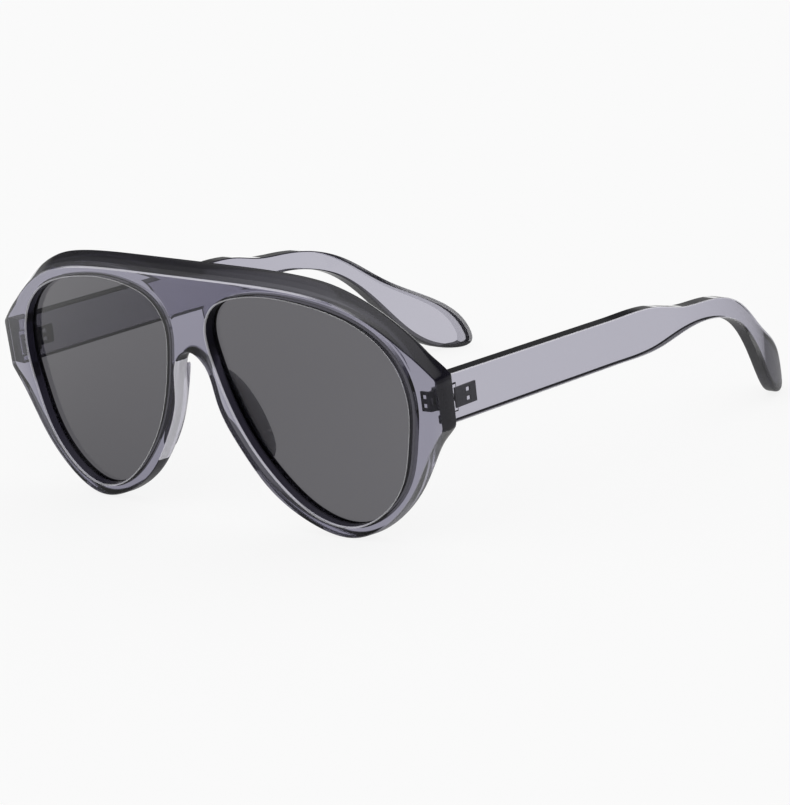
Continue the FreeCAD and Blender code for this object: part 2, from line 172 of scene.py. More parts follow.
def along(path: np.ndarray, stations: np.ndarray) -> np.ndarray:
    """Rows of a polyline at given distances along it, every column interpolated."""
    lengths = arc_lengths(path)
    return np.stack([np.interp(stations, lengths, column) for column in path.T], axis=1)


def round_joint(first: np.ndarray, second: np.ndarray, reach: float, count: int = 24) -> np.ndarray:
    """Two polylines joined by a rounded corner, a quadratic curve whose middle handle is the corner.

    Args:
        first: Polyline that ends at the corner.
        second: Polyline that starts there.
        reach: How far the rounding reaches along each of them.
        count: Points of the rounding.

    Returns:
        One polyline.
    """
    lengths = arc_lengths(first)
    head = first[lengths < lengths[-1] - reach]
    tail = second[arc_lengths(second) > reach]
    start = along(first, np.array([lengths[-1] - reach]))
    end = along(second, np.array([reach]))
    s = np.linspace(0.0, 1.0, count)[:, None]
    corner = (1 - s) ** 2 * start + 2 * s * (1 - s) * second[:1] + s ** 2 * end
    return np.vstack([head, corner, tail])


def crowded(path: np.ndarray, step: float, turn: float) -> np.ndarray:
    """Distances along a polyline that are a step apart, and closer where it turns.

    The crowding, which is the larger of 1 / step and bending / turn, is summed up along the polyline, and the
    stations are where the sum passes even counts.

    Args:
        path: Dense polyline.
        step: Largest distance between stations.
        turn: Largest turn between stations, in radians.

    Returns:
        The stations, from 0 to the polyline's length.
    """
    lengths = arc_lengths(path)
    direction = np.gradient(path[:, :2], lengths, axis=0)
    heading = np.unwrap(np.arctan2(direction[:, 1], direction[:, 0]))
    bending = np.abs(np.gradient(heading, lengths))
    crowd = np.maximum(1.0 / step, bending / turn)
    total = np.concatenate([[0.0], np.cumsum((crowd[1:] + crowd[:-1]) / 2 * np.diff(lengths))])
    return np.interp(np.linspace(0.0, total[-1], int(total[-1]) + 2), total, lengths)


def outward(path: np.ndarray) -> np.ndarray:
    """Unit normals on the left of a polyline's direction, which is outside one that runs clockwise.

    Args:
        path: The polyline; only its first two columns count.

    Returns:
        One normal for each point.
    """
    direction = np.gradient(path[:, :2], arc_lengths(path), axis=0)
    direction /= np.linalg.norm(direction, axis=1)[:, None]
    return np.stack([-direction[:, 1], direction[:, 0]], axis=1)


def rounded_corner(corner: np.ndarray, before: np.ndarray, after: np.ndarray,
                   count: int = ROUND_FACES + 1) -> np.ndarray:
    """Quadratic rounding of a profile's corner, one for each station.

    Args:
        corner: Corner points, (stations, 2).
        before: Where the rounding starts, on the profile's last stretch.
        after: Where it ends, on its next stretch.
        count: Points of the rounding.

    Returns:
        Points, (stations, count, 2).
    """
    s = np.linspace(0.0, 1.0, count)[None, :, None]
    return (1 - s) ** 2 * before[:, None] + 2 * s * (1 - s) * corner[:, None] + s ** 2 * after[:, None]


class Shell:
    """Grids of points gathered patch by patch, in metres, and then welded into one closed mesh."""

    WELD = 2e-6
    SLIVER = WELD / 4
    CREASE = math.radians(32.0)
    MIRROR = np.array([-1.0, 1.0, 1.0])

    def __init__(self) -> None:
        """Start with no patches."""
        self.points: list[np.ndarray] = []
        self.faces: list[np.ndarray] = []
        self.walls: list[np.ndarray] = []
        self.count = 0

    def sheet(self, grid: np.ndarray, closed: bool = False, wall: np.ndarray | float = 0.0) -> None:
        """Add a grid of four-sided faces.

        Args:
            grid: Points in metres, (rows, columns, 3).
            closed: Whether the last column joins the first.
            wall: Wall attribute of painted shade and painted highlights, one for all faces or one for each.
        """
        rows, columns = grid.shape[:2]
        index = np.arange(rows * columns).reshape(rows, columns) + self.count
        if closed:
            index = np.concatenate([index, index[:, :1]], axis=1)
        quads = np.stack([index[:-1, :-1], index[:-1, 1:], index[1:, 1:], index[1:, :-1]], axis=-1)
        self.points.append(grid.reshape(-1, 3))
        self.faces.append(quads.reshape(-1, 4))
        self.walls.append(np.broadcast_to(wall, quads.shape[:2]).reshape(-1))
        self.count += rows * columns

    def mirror(self) -> None:
        """Add the mirror image, across x = 0, of all patches so far."""
        points = np.concatenate(self.points) * self.MIRROR
        faces = np.concatenate(self.faces)[:, ::-1] + self.count
        self.points.append(points)
        self.faces.append(faces)
        self.walls.append(np.concatenate(self.walls))
        self.count += len(points)

    def flip_side(self, side: Side) -> None:
        """Move all patches to one side of the glasses."""
        self.points = [points * np.array([side.value, 1.0, 1.0]) for points in self.points]

    def build(self, name: str) -> bpy.types.Object:
        """Weld the patches, close holes, turn the faces outwards and shade them smooth between creases.

        Args:
            name: Name of the new object.

        Returns:
            The object, at the origin.
        """
        mesh = bpy.data.meshes.new(name)
        mesh.from_pydata(np.concatenate(self.points).tolist(), [], np.concatenate(self.faces).tolist())
        # The wall attribute holds the painted shade and painted highlights of each face.
        walls = mesh.attributes.new("wall", "FLOAT", "FACE")
        walls.data.foreach_set("value", np.concatenate(self.walls).astype(np.float32))
        work = bmesh.new()
        work.from_mesh(mesh)
        bmesh.ops.remove_doubles(work, verts=work.verts, dist=self.WELD)
        bmesh.ops.dissolve_degenerate(work, edges=work.edges, dist=self.SLIVER)
        edges = [edge for edge in work.edges if edge.is_boundary]
        if edges:
            bmesh.ops.holes_fill(work, edges=edges, sides=0)
        bmesh.ops.recalc_face_normals(work, faces=work.faces)
        work.to_mesh(mesh)
        loose = sum(not edge.is_manifold for edge in work.edges)
        work.free()
        mesh.shade_smooth()
        mesh.set_sharp_from_angle(angle=self.CREASE)
        piece = bpy.data.objects.new(name, mesh)
        bpy.context.scene.collection.objects.link(piece)
        log.info("%s: %d faces, %d open edges", name, len(mesh.polygons), loose)
        return piece


class Nodes:
    """Short hand for a shader's node tree."""

    NOISE_RANGE = (0.3, 0.7)

    def __init__(self, tree: bpy.types.NodeTree) -> None:
        """Take a tree and empty it."""
        self.tree = tree
        tree.nodes.clear()

    def add(self, kind: str, inputs: dict[str, object] | None = None, **settings: object) -> bpy.types.Node:
        """Add a node.

        Args:
            kind: Node type, without its ShaderNode prefix.
            inputs: Socket values by name.
            settings: Properties of the node.

        Returns:
            The node.
        """
        node = self.tree.nodes.new(f"ShaderNode{kind}")
        for name, value in settings.items():
            setattr(node, name, value)
        for name, value in (inputs or {}).items():
            socket = next(socket for socket in node.inputs if socket.name == name and socket.enabled)
            socket.default_value = value
        return node

    def link(self, source: bpy.types.Node, output: str, target: bpy.types.Node, name: str | int) -> None:
        """Join an output socket to an input socket.

        Args:
            source: Node to take from.
            output: Name of its output.
            target: Node to give to.
            name: Name or number of its input.
        """
        ends = []
        for sockets, key in ((source.outputs, output), (target.inputs, name)):
            named = [socket for socket in sockets if socket.name == key and socket.enabled]
            ends.append(named[0] if named else sockets[key])
        self.tree.links.new(*ends)

    def math(self, operation: str, *values: bpy.types.NodeSocket | float) -> bpy.types.Node:
        """Add a node that works out a number.

        Args:
            operation: What it does, in the shader's own word.
            values: What it does it with: numbers, or outputs of other nodes.

        Returns:
            The node.
        """
        node = self.add("Math", operation=operation)
        for socket, value in zip(node.inputs, values):
            if isinstance(value, bpy.types.NodeSocket):
                self.tree.links.new(value, socket)
            else:
                socket.default_value = value
        return node

    def noise(self, size_mm: float, detail: float,
              stretch: tuple[float, float, float] = (1.0, 1.0, 1.0)) -> bpy.types.Node:
        """Noise on Object coordinates.

        Args:
            size_mm: Size of one patch of the noise.
            detail: Octaves.
            stretch: Factor on each coordinate, to draw the noise out into strokes.

        Returns:
            The noise node.
        """
        place = self.add("TexCoord")
        mapping = self.add("Mapping", {"Scale": stretch})
        noise = self.add("TexNoise", {"Scale": 1.0 / (size_mm * MM), "Detail": detail})
        self.link(place, "Object", mapping, "Vector")
        self.link(mapping, "Vector", noise, "Vector")
        return noise

    def spread(self, source: bpy.types.Node, low: float, high: float) -> bpy.types.Node:
        """Map a noise's middle range to a range of values.

        Args:
            source: The noise node.
            low: Value at the foot of the range.
            high: Value at its top.

        Returns:
            The node that maps it.
        """
        start, end = self.NOISE_RANGE
        spread = self.add("MapRange", {"From Min": start, "From Max": end, "To Min": low, "To Max": high})
        self.link(source, "Fac", spread, "Value")
        return spread


def new_material(name: str) -> tuple[bpy.types.Material, Nodes]:
    """A material with an empty node tree.

    Args:
        name: Name of the material.

    Returns:
        The material and its tree.
    """
    material = bpy.data.materials.new(name)
    material.use_nodes = True
    return material, Nodes(material.node_tree)


@dataclass(frozen=True)
class ClearPlastic:
    """Polished tinted plastic that light passes through and that swallows it with depth.

    Attributes:
        name: Name of the material.
        swallow: Light swallowed per millimetre, for red, green and blue.
        polish: Roughness where the polish is best and where it is worn.
        wear_size, wear_detail: Size of a worn patch in millimetres, and its octaves of noise.
        ripple: Height of the moulding's slow ripple, in millimetres.
        ripple_size: Length of the ripple, in millimetres.
        refraction: Refractive index.
        clear: Share of the light that passes through; the rest is scattered by the colour.
        colour, painted_shade_colour: Colour of the faces, and the painted shade that darkens walls towards
            it.
        painted_light_clear: Share of the clear light let in from outside by walls with painted shade and
            highlights.
        wall_inside: How far a wall keeps its painted shade and highlight when it is met from inside.
        pale: Colour of a painted highlight on a wall.
    """

    name: str
    swallow: tuple[float, float, float]
    polish: tuple[float, float] = (0.0, 0.03)
    wear_size: float = 9.0
    wear_detail: float = 4.0
    ripple: float = 0.01
    ripple_size: float = 14.0
    refraction: float = 1.49
    clear: float = 1.0
    colour: tuple[float, float, float] = (1.0, 1.0, 1.0)
    painted_shade_colour: tuple[float, float, float] = (0.012, 0.0108, 0.018)
    painted_light_clear: float = 0.4
    wall_inside: float = 0.0
    pale: tuple[float, float, float] = (0.93, 0.92, 0.98)

    def material(self) -> bpy.types.Material:
        """Clear surface with a worn polish and a moulded ripple, over an absorbing inside.

        Returns:
            The material.
        """
        material, nodes = new_material(self.name)
        surface = nodes.add("BsdfPrincipled", {"IOR": self.refraction})
        # Painted light: from outside, the wall attribute paints shade (towards 1) and highlights (towards -1)
        # into the colour, and cuts the light let through.
        outside = nodes.add("MapRange", {"To Min": 1.0, "To Max": self.wall_inside})
        nodes.link(nodes.add("NewGeometry"), "Backfacing", outside, "Value")
        wall = nodes.add("Attribute", attribute_name="wall")
        cut = nodes.math("MULTIPLY", wall.outputs["Fac"], outside.outputs["Result"])
        # Painted shade: the colour darkens towards the painted shade colour.
        shade = nodes.add("Mix", {"A": (*self.colour, 1.0), "B": (*self.painted_shade_colour, 1.0)}, data_type="RGBA")
        nodes.link(cut, "Value", shade, "Factor")
        # Painted highlight: the colour pales where the attribute is below 0.
        dull = nodes.math("MULTIPLY", cut.outputs["Value"], PAINTED_HIGHLIGHT)
        tone = nodes.add("Mix", {"B": (*self.pale, 1.0)}, data_type="RGBA")
        nodes.link(dull, "Value", tone, "Factor")
        nodes.link(shade, "Result", tone, "A")
        nodes.link(tone, "Result", surface, "Base Color")
        # Painted shade and painted highlights both let less light through.
        either = nodes.math("ABSOLUTE", cut.outputs["Value"])
        passing = nodes.add("MapRange", {"To Min": self.clear, "To Max": self.clear * self.painted_light_clear})
        nodes.link(either, "Value", passing, "Value")
        nodes.link(passing, "Result", surface, "Transmission Weight")
        worn = nodes.spread(nodes.noise(self.wear_size, self.wear_detail), *self.polish)
        nodes.link(worn, "Result", surface, "Roughness")
        bump = nodes.add("Bump", {"Strength": 1.0, "Distance": self.ripple * MM})
        nodes.link(nodes.noise(self.ripple_size, detail=1.0), "Fac", bump, "Height")
        nodes.link(bump, "Normal", surface, "Normal")
        density = max(self.swallow) / MM
        passed = [1.0 - share / max(self.swallow) for share in self.swallow]
        inside = nodes.add("VolumeAbsorption", {"Color": (*passed, 1.0), "Density": density})
        output = nodes.add("OutputMaterial")
        nodes.link(surface, "BSDF", output, "Surface")
        nodes.link(inside, "Volume", output, "Volume")
        return material


@dataclass(frozen=True)
class Steel:
    """Bare steel with fine strokes from its tool.

    Attributes:
        name: Name of the material.
        colour: Colour of the metal.
        roughness: Roughness between and along the strokes.
        strokes: Factor on each coordinate that draws the strokes out.
        stroke_size: Width of a stroke, in millimetres.
        stroke_detail: Octaves of noise in the strokes.
        dull: Shade between the strokes, as a share of the colour.
        relief, relief_strength: Height of the strokes in millimetres, and how far it counts.
    """

    name: str
    colour: tuple[float, float, float]
    roughness: tuple[float, float]
    strokes: tuple[float, float, float]
    stroke_size: float = 0.12
    stroke_detail: float = 3.0
    dull: float = 0.7
    relief: float = 0.01
    relief_strength: float = 0.5

    def material(self) -> bpy.types.Material:
        """Metal whose shade, gloss and relief follow the strokes.

        Returns:
            The material.
        """
        material, nodes = new_material(self.name)
        surface = nodes.add("BsdfPrincipled", {"Metallic": 1.0})
        strokes = nodes.noise(self.stroke_size, self.stroke_detail, self.strokes)
        dull = (*[self.dull * value for value in self.colour], 1.0)
        shade = nodes.add("Mix", {"A": dull, "B": (*self.colour, 1.0)}, data_type="RGBA")
        nodes.link(strokes, "Fac", shade, "Factor")
        nodes.link(shade, "Result", surface, "Base Color")
        nodes.link(nodes.spread(strokes, *self.roughness), "Result", surface, "Roughness")
        bump = nodes.add("Bump", {"Strength": self.relief_strength, "Distance": self.relief * MM})
        nodes.link(strokes, "Fac", bump, "Height")
        nodes.link(bump, "Normal", surface, "Normal")
        output = nodes.add("OutputMaterial")
        nodes.link(surface, "BSDF", output, "Surface")
        return material


FRONT_PLASTIC = ClearPlastic("front_clear_grey", (0.212, 0.217, 0.178))
TEMPLE_PLASTIC = ClearPlastic("temple_clear_grey", (0.15, 0.154, 0.124), wall_inside=1.0)
LENS_TINT = ClearPlastic("lens_smoke", (1.08, 1.09, 1.05), polish=(0.0, 0.015), ripple=0.002,
                         ripple_size=30.0, refraction=1.38)
PAD_PLASTIC = ClearPlastic("pad_clear", (0.035, 0.036, 0.03), polish=(0.15, 0.3), ripple=0.004,
                           ripple_size=4.0, clear=0.25, colour=(0.8, 0.79, 0.85))
HINGE_STEEL = Steel("hinge_steel", (0.34, 0.34, 0.35), roughness=(0.25, 0.45), strokes=(1.0, 1.0, 0.1))
SCREW_STEEL = Steel("screw_steel", (0.5, 0.5, 0.5), roughness=(0.2, 0.35), strokes=(1.0, 1.0, 0.3),
                    stroke_size=0.06)


def dress(piece: bpy.types.Object, finish: ClearPlastic | Steel, body: str, slot: str, *nodes: str) -> None:
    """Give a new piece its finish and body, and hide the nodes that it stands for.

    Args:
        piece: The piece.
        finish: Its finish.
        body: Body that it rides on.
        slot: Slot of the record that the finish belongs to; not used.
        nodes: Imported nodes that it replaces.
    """
    piece.data.materials.append(finish.material())
    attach(piece, body)
    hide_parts(*nodes)


@dataclass
class FrontForm:
    """Shape of the front: the wrapped faces, the eye openings and the outline, and where they stand.

    Attributes:
        lens_width, lens_height, bridge_gap: The two openings.
        wrap_radius, tilt: Bend of the front about an upright axis, and its lean in degrees.
        brow_height, endpiece_top, endpiece_height: Brow above the lens top, and the end face.
        arch_rise: Top of the nose arch above the lens centre line.
        rim_cheek, rim_outer, rim_lower, rim_nasal: Rim widths.
        endpiece_depth, hinge_setback: End face front to back, and hinge axis behind it.
        hinge_height: Hinge middle above the lens centre line.
        eye: Points of an opening from nasal to temporal and bottom to top, with the rim width outside them.
        brow: Places along the brow and its drop there.
        end_x, brow_top, butt_y: Places of the end face, of the brow's top and of the temples' seats.
        hinge_x: Place of the left hinge's axis.
        stand: The front's own origin in the model's frame.
        eye_middle, eye_curve: Middle and outline of the left opening.
    """

    NUDGE = 1e-5

    lens_width: float = 58.4
    lens_height: float = 54.3
    bridge_gap: float = 13.6
    wrap_radius: float = 420.0
    tilt: float = 3.35
    brow_height: float = 6.55
    endpiece_top: float = 10.5
    endpiece_height: float = 12.1
    arch_rise: float = 11.3
    rim_cheek: float = 6.8
    rim_outer: float = 4.0
    rim_lower: float = 3.1
    rim_nasal: float = 4.1
    endpiece_depth: float = 4.1
    hinge_setback: float = 1.5
    hinge_height: float = 4.9
    eye: tuple[tuple[float, float, str], ...] = (
        (0.346, 1.000, ""), (0.553, 0.982, ""), (0.743, 0.931, ""), (0.871, 0.857, ""), (0.959, 0.749, ""),
        (1.000, 0.571, ""), (0.976, 0.405, "rim_cheek"), (0.922, 0.228, "rim_outer"),
        (0.823, 0.096, "rim_lower"), (0.628, 0.000, "rim_lower"), (0.431, 0.046, "rim_lower"),
        (0.270, 0.178, "rim_nasal"), (0.143, 0.348, "rim_nasal"), (0.065, 0.520, "rim_nasal"),
        (0.018, 0.690, "rim_nasal"), (0.009, 0.836, ""), (0.061, 0.924, ""), (0.166, 0.975, ""),
    )
    brow: tuple[tuple[float, float], ...] = (
        (0.0, 0.0), (0.27, 0.009), (0.5, 0.053), (0.61, 0.115), (0.72, 0.251), (0.81, 0.423), (0.905, 0.665),
        (1.0, 1.0),
    )
    end_x: float = field(init=False)
    brow_top: float = field(init=False)
    butt_y: float = field(init=False)
    hinge_x: float = field(init=False)
    stand: np.ndarray = field(init=False)
    eye_middle: np.ndarray = field(init=False)
    eye_curve: SmoothCurve = field(init=False)

    def __post_init__(self) -> None:
        """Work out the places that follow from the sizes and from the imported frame."""
        self.end_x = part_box("front_frame")[1].x / MM
        self.brow_top = self.lens_height / 2 + self.brow_height
        self.butt_y = float(self.sag(np.array(self.end_x), 0.0)) + self.endpiece_depth
        hinge_y = self.butt_y + self.hinge_setback
        axis = next(joint["pos_m"] for joint in frame["joints"] if joint["name"] == "left_fold")
        low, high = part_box("left_temple_hinge_leaf")
        leaf_middle = (low.z + high.z) / 2 / MM
        self.hinge_x = axis[0] / MM
        self.stand = np.array([0.0, axis[1] / MM - hinge_y, leaf_middle - self.hinge_height])
        shares = np.array([point[:2] for point in self.eye])
        points = np.stack([self.bridge_gap / 2 + shares[:, 0] * self.lens_width,
                           (shares[:, 1] - 0.5) * self.lens_height], axis=1)
        self.eye_middle = points.mean(axis=0)
        self.eye_curve = SmoothCurve(points, closed=True)

    def sag(self, x: np.ndarray, depth: np.ndarray | float) -> np.ndarray:
        """Set-back of a layer: the circle of wrap_radius less depth about the wrap axis, at x."""
        return self.wrap_radius - np.sqrt((self.wrap_radius - depth) ** 2 - np.asarray(x) ** 2)

    def place(self, x: np.ndarray, depth: np.ndarray | float, z: np.ndarray) -> np.ndarray:
        """Points of the leaning front in metres: wrapped by sag, then turned by tilt about x, then stood.

        Args:
            x: Places across.
            depth: Depths behind the front face.
            z: Heights over the lens centre line.

        Returns:
            Points, with the shape of x and a last axis of 3.
        """
        y = self.sag(x, depth)
        cos, sin = math.cos(math.radians(self.tilt)), math.sin(math.radians(self.tilt))
        return (np.stack([x, y * cos - z * sin, y * sin + z * cos], -1) + self.stand) * MM

    def opening(self, where: np.ndarray) -> tuple[np.ndarray, np.ndarray]:
        """Points of the eye opening and their unit normals into the rim, square to a small step along it.

        Args:
            where: Chord lengths round the opening.

        Returns:
            Points and normals, one row for each place.
        """
        total = self.eye_curve.knots[-1]
        step = total * self.NUDGE
        points = self.eye_curve.at(where % total)
        ahead = self.eye_curve.at((where + step) % total) - self.eye_curve.at((where - step) % total)
        ahead /= np.linalg.norm(ahead, axis=1)[:, None]
        return points, np.stack([-ahead[:, 1], ahead[:, 0]], axis=1)

    def rim_points(self, *names: str) -> np.ndarray:
        """Outer points of the rims: eye points moved out along their normals by their rim's width.

        Args:
            names: Rims to take, or none for all.

        Returns:
            Points, one row each.
        """
        points, normals = self.opening(self.eye_curve.knots[:-1])
        widths = np.array([getattr(self, rim) if rim else 0.0 for _, _, rim in self.eye])
        wanted = np.array([bool(rim) and (not names or rim in names) for _, _, rim in self.eye])
        return (points + normals * widths[:, None])[wanted]

    def brow_curve(self) -> SmoothCurve:
        """Back edge of the brow from end to end.

        Returns:
            The curve, from the right end to the left.
        """
        shares = np.array(self.brow)
        half = np.stack([shares[:, 0] * self.end_x,
                         self.brow_top - shares[:, 1] * (self.brow_top - self.endpiece_top)], axis=1)
        return SmoothCurve(np.vstack([half[:0:-1] * [-1, 1], half]))

    def under_curve(self) -> SmoothCurve:
        """Lower outline round both rims, their nasal flanks and the arch.

        Returns:
            The curve, from the left end face to the right.
        """
        corner = np.array([[self.end_x, self.endpiece_top - self.endpiece_height]])
        half = np.vstack([corner, self.rim_points()])
        arch = np.array([[0.0, self.arch_rise]])
        return SmoothCurve(np.vstack([half, arch, half[::-1] * [-1, 1]]))


@dataclass
class FrontFrame:
    """The moulded front: two rims, brow, bridge and endpieces in one piece.

    Attributes:
        form: Shape of the front.
        depth: Front to back.
        brow_bevel: Drop of the brow's sloped face from its top to the front face.
        bevel_run: Places along the brow and the share of the bevel there.
        crest, end_crest: Depth at which the outer walls stand out furthest, and that on the end face.
        edge: Least slope of the outer walls, on their front edge.
        back_inset, end_inset: How far the walls draw in to the back face, and how far on the end face.
        inset_run, crest_run: Distances from the end face over which the inset and the crest change.
        front_round, crest_round, back_round: Reach of the rounding of the walls' edges.
        corner_round: Reach of the rounding of the end face's corners.
        opening_round: Reach of the rounding of the openings' front edge.
        lens_recess, lens_thickness, groove: Groove that holds the lens.
        seat_reach: How far the flat seat of a temple reaches inwards of the hinge.
        outer_painted_shade, dark_painted_shade, end_painted_shade: Wall attribute, that is painted shade, of
        the outer side, of the brow and the
            nasal side, and of the end faces.
        painted_edge_highlight, opening_painted_highlight: Wall attribute of the painted highlights along the
        front edges of the brow
            and of the openings.
        slope_painted_shade: Wall attribute, painted shade, of the strips up the brow's sloped face.
        slope_run, dark_run: Distances from the end face over which the strips' own painted shade fades out,
            and over which the brow's painted shade turns darkest.
        nasal_run: From the eye's middle, where the nasal painted shade starts to fade and where it has gone.
        end_width: How near to the end face a wall belongs to it.
        flank: Middle and half height of the painted highlight, a pale stretch, beside a pad.
        step, turn: Largest distance in millimetres and turn in radians between stations of the outline.
        fine: Points of the dense brow, underside and end face that the outline is made from.
        opening_fine, even: Points of the dense opening, and stations that its matching is evened over.
        bridge_points, face_rows: Points across the bridge's middle line, and rows of a face.
    """

    form: FrontForm
    depth: float = 5.0
    brow_bevel: float = 3.4
    bevel_run: tuple[tuple[float, float], ...] = (
        (0.0, 1.0), (0.61, 1.0), (0.72, 0.82), (0.81, 0.7), (0.905, 0.65), (1.0, 0.2))
    crest: float = 3.2
    end_crest: float = 2.0
    edge: float = 0.35
    back_inset: float = 1.0
    end_inset: float = 0.2
    inset_run: tuple[float, float] = (0.5, 5.0)
    crest_run: float = 8.0
    front_round: float = 0.25
    crest_round: float = 0.6
    back_round: float = 0.5
    corner_round: float = 0.9
    opening_round: float = 0.4
    lens_recess: float = 2.5
    lens_thickness: float = 1.6
    groove: float = 0.8
    seat_reach: float = 2.2
    outer_painted_shade: float = 0.3
    dark_painted_shade: float = 0.975
    end_painted_shade: float = 0.975
    painted_edge_highlight: float = -0.8
    opening_painted_highlight: float = -0.55
    slope_painted_shade: tuple[float, ...] = (0.9, 0.95, 0.97)
    slope_run: tuple[float, float] = (20.0, 6.0)
    dark_run: float = 14.0
    nasal_run: tuple[float, float] = (-6.0, 10.0)
    end_width: float = 0.3
    flank: tuple[float, float] = (-5.0, 13.0)
    step: float = 1.0
    turn: float = 0.12
    fine: tuple[int, int, int] = (1200, 2400, 200)
    opening_fine: int = 6000
    even: int = 21
    bridge_points: int = 16
    face_rows: int = 8

    def outline(self) -> np.ndarray:
        """Half outline, clockwise from the brow's middle to the arch's.

        Returns:
            Rows of x, z, front slope and back inset.
        """
        form = self.form
        brow_count, under_count, end_count = self.fine
        brow = form.brow_curve()
        top = brow.sweep(brow.knots[len(brow.knots) // 2], brow.knots[-1], brow_count)
        share = np.interp(top[:, 0] / form.end_x, *np.array(self.bevel_run).T)
        slope = np.maximum(self.edge, share * self.brow_bevel * outward(top)[:, 1])
        under = form.under_curve()
        low = under.sweep(0.0, under.knots[len(under.knots) // 2], under_count)
        top, low = (np.column_stack([line, front, self.rear(line[:, 0])])
                    for line, front in ((top, slope), (low, np.full(len(low), self.edge))))
        end = np.linspace(top[-1], low[0], end_count)
        return round_joint(round_joint(top, end, self.corner_round), low, self.corner_round)

    def rear(self, x: np.ndarray) -> np.ndarray:
        """How far the outer wall draws in to the back face, less and less towards the end face."""
        share = smoothstep(self.form.end_x - x, *self.inset_run)
        return self.end_inset + (self.back_inset - self.end_inset) * share

    def outer_profile(self, slope: np.ndarray, rear: np.ndarray,
                      ended: np.ndarray) -> tuple[np.ndarray, np.ndarray]:
        """Inset and depth down the outer wall: rounded front edge, slope up to the crest, rounded back edge.

        Args:
            slope: Inset of the front edge at each station.
            rear: Inset of the back edge at each station.
            ended: 1 on the end face, falling to 0 away from it.

        Returns:
            Insets and depths, (stations, points).
        """
        zero = np.zeros_like(slope)
        front = np.stack([slope, zero], axis=1)
        crest = np.stack([zero, self.crest - (self.crest - self.end_crest) * ended], axis=1)
        back = np.stack([rear, zero + self.depth], axis=1)
        rise = (crest - front) / np.linalg.norm(crest - front, axis=1)[:, None]
        fall = (back - crest) / np.linalg.norm(back - crest, axis=1)[:, None]
        foot, top = front + rise * self.front_round, crest - rise * self.crest_round
        between = np.linspace(0.0, 1.0, len(self.slope_painted_shade) + 1)[1:-1, None]
        profile = np.concatenate([
            rounded_corner(front, front + [self.front_round, 0.0], foot),
            foot[:, None] + between * (top - foot)[:, None],
            rounded_corner(crest, top, crest + fall * self.crest_round),
            rounded_corner(back, back - fall * self.back_round, back + [self.back_round, 0.0]),
        ], axis=1)
        return profile[..., 0], profile[..., 1]

    def opening_profile(self) -> tuple[np.ndarray, np.ndarray]:
        """Profile of an opening's wall: rounded front edge, lens groove, rounded back edge.

        Returns:
            Distances into the rim and depths, one for each point.
        """
        front, back = self.lens_recess, self.lens_recess + self.lens_thickness
        groove = np.array([[0.0, front], [self.groove, front], [self.groove, back]])
        edges = []
        for level, reach in ((0.0, self.opening_round), (self.depth, self.depth - back)):
            corner = np.array([[0.0, level]])
            inwards = np.array([0.0, math.copysign(reach, self.depth / 2 - level)])
            edges.append(rounded_corner(corner, corner + [reach, 0.0], corner + inwards)[0])
        profile = np.concatenate([edges[0], groove, edges[1][::-1]])
        return profile[:, 0], profile[:, 1]

    def seated(self, points: np.ndarray) -> np.ndarray:
        """Points kept in front of the flat seats that the temples close against.

        Args:
            points: Points in metres, changed in place.

        Returns:
            The same points.
        """
        seat = (self.form.butt_y + self.form.stand[1]) * MM
        outer = np.abs(points[..., 0]) > (self.form.hinge_x - self.seat_reach) * MM
        points[..., 1] = np.where(outer, np.minimum(points[..., 1], seat), points[..., 1])
        return points

    def matched(self, loop: np.ndarray) -> np.ndarray:
        """Place on the opening that faces each point of the loop round it.

        The nearest place is found first, and then evened out by a running mean, so that no two are the same.

        Args:
            loop: Closed loop of points round the opening, clockwise.

        Returns:
            Chord lengths round the opening.
        """
        total = self.form.eye_curve.knots[-1]
        tries = np.linspace(0.0, total, self.opening_fine, endpoint=False)
        points = self.form.eye_curve.at(tries)
        nearest = tries[np.argmin(np.linalg.norm(loop[:, None] - points[None], axis=2), axis=1)]
        steady = np.unwrap(nearest, period=total)
        wrapped = np.concatenate([steady[-self.even:] - total, steady, steady[:self.even] + total])
        return np.convolve(wrapped, np.full(self.even, 1.0 / self.even), mode="same")[self.even:-self.even]

    def outer_painted_light(self, edge: np.ndarray, columns: int) -> np.ndarray:
        """Wall attribute of the outer wall's faces: painted shade and painted highlights.

        The brow gets painted shade, darkest at the ends, under a painted highlight along its front edge that
        fades outwards. Below, the painted shade goes from dark on the nasal side to faint on the outer side,
        with a painted highlight, a pale stretch, beside the pad.

        Args:
            edge: Half outline, as from outline().
            columns: Faces down the wall.

        Returns:
            The attribute, (stations - 1, columns).
        """
        x, z = edge[:-1, 0], edge[:-1, 1]
        from_middle, from_end = x - self.form.eye_middle[0], self.form.end_x - x
        brow = np.arange(len(x)) < np.argmax(x)
        nasal = 1.0 - smoothstep(from_middle, *self.nasal_run)
        # Painted shade: full on the brow and the nasal side, faint on the outer side.
        look = self.outer_painted_shade + (self.dark_painted_shade - self.outer_painted_shade) * np.where(brow, 1.0, nasal)
        # Painted shade: darkest at the brow's ends and on the end faces.
        ends = np.where(brow, smoothstep(from_end, self.dark_run, 0.0), from_end < self.end_width)
        look += (np.where(brow, PAINTED_SHADE, self.end_painted_shade) - look) * ends
        # Painted highlight: a pale stretch beside the pad.
        flank_middle, flank_half = self.flank
        look[~brow & (from_middle < 0.0) & (np.abs(z - flank_middle) < flank_half)] = PAINTED_HIGHLIGHT
        look = np.repeat(look[:, None], columns, axis=1)
        # Painted shade on the strips up the brow's slope, fading out near the end face.
        strips = slice(ROUND_FACES, ROUND_FACES + len(self.slope_painted_shade))
        graded = np.where(brow, 1.0 - smoothstep(from_end, *self.slope_run), 0.0)[:, None]
        look[:, strips] += graded * (np.array(self.slope_painted_shade) - look[:, strips])
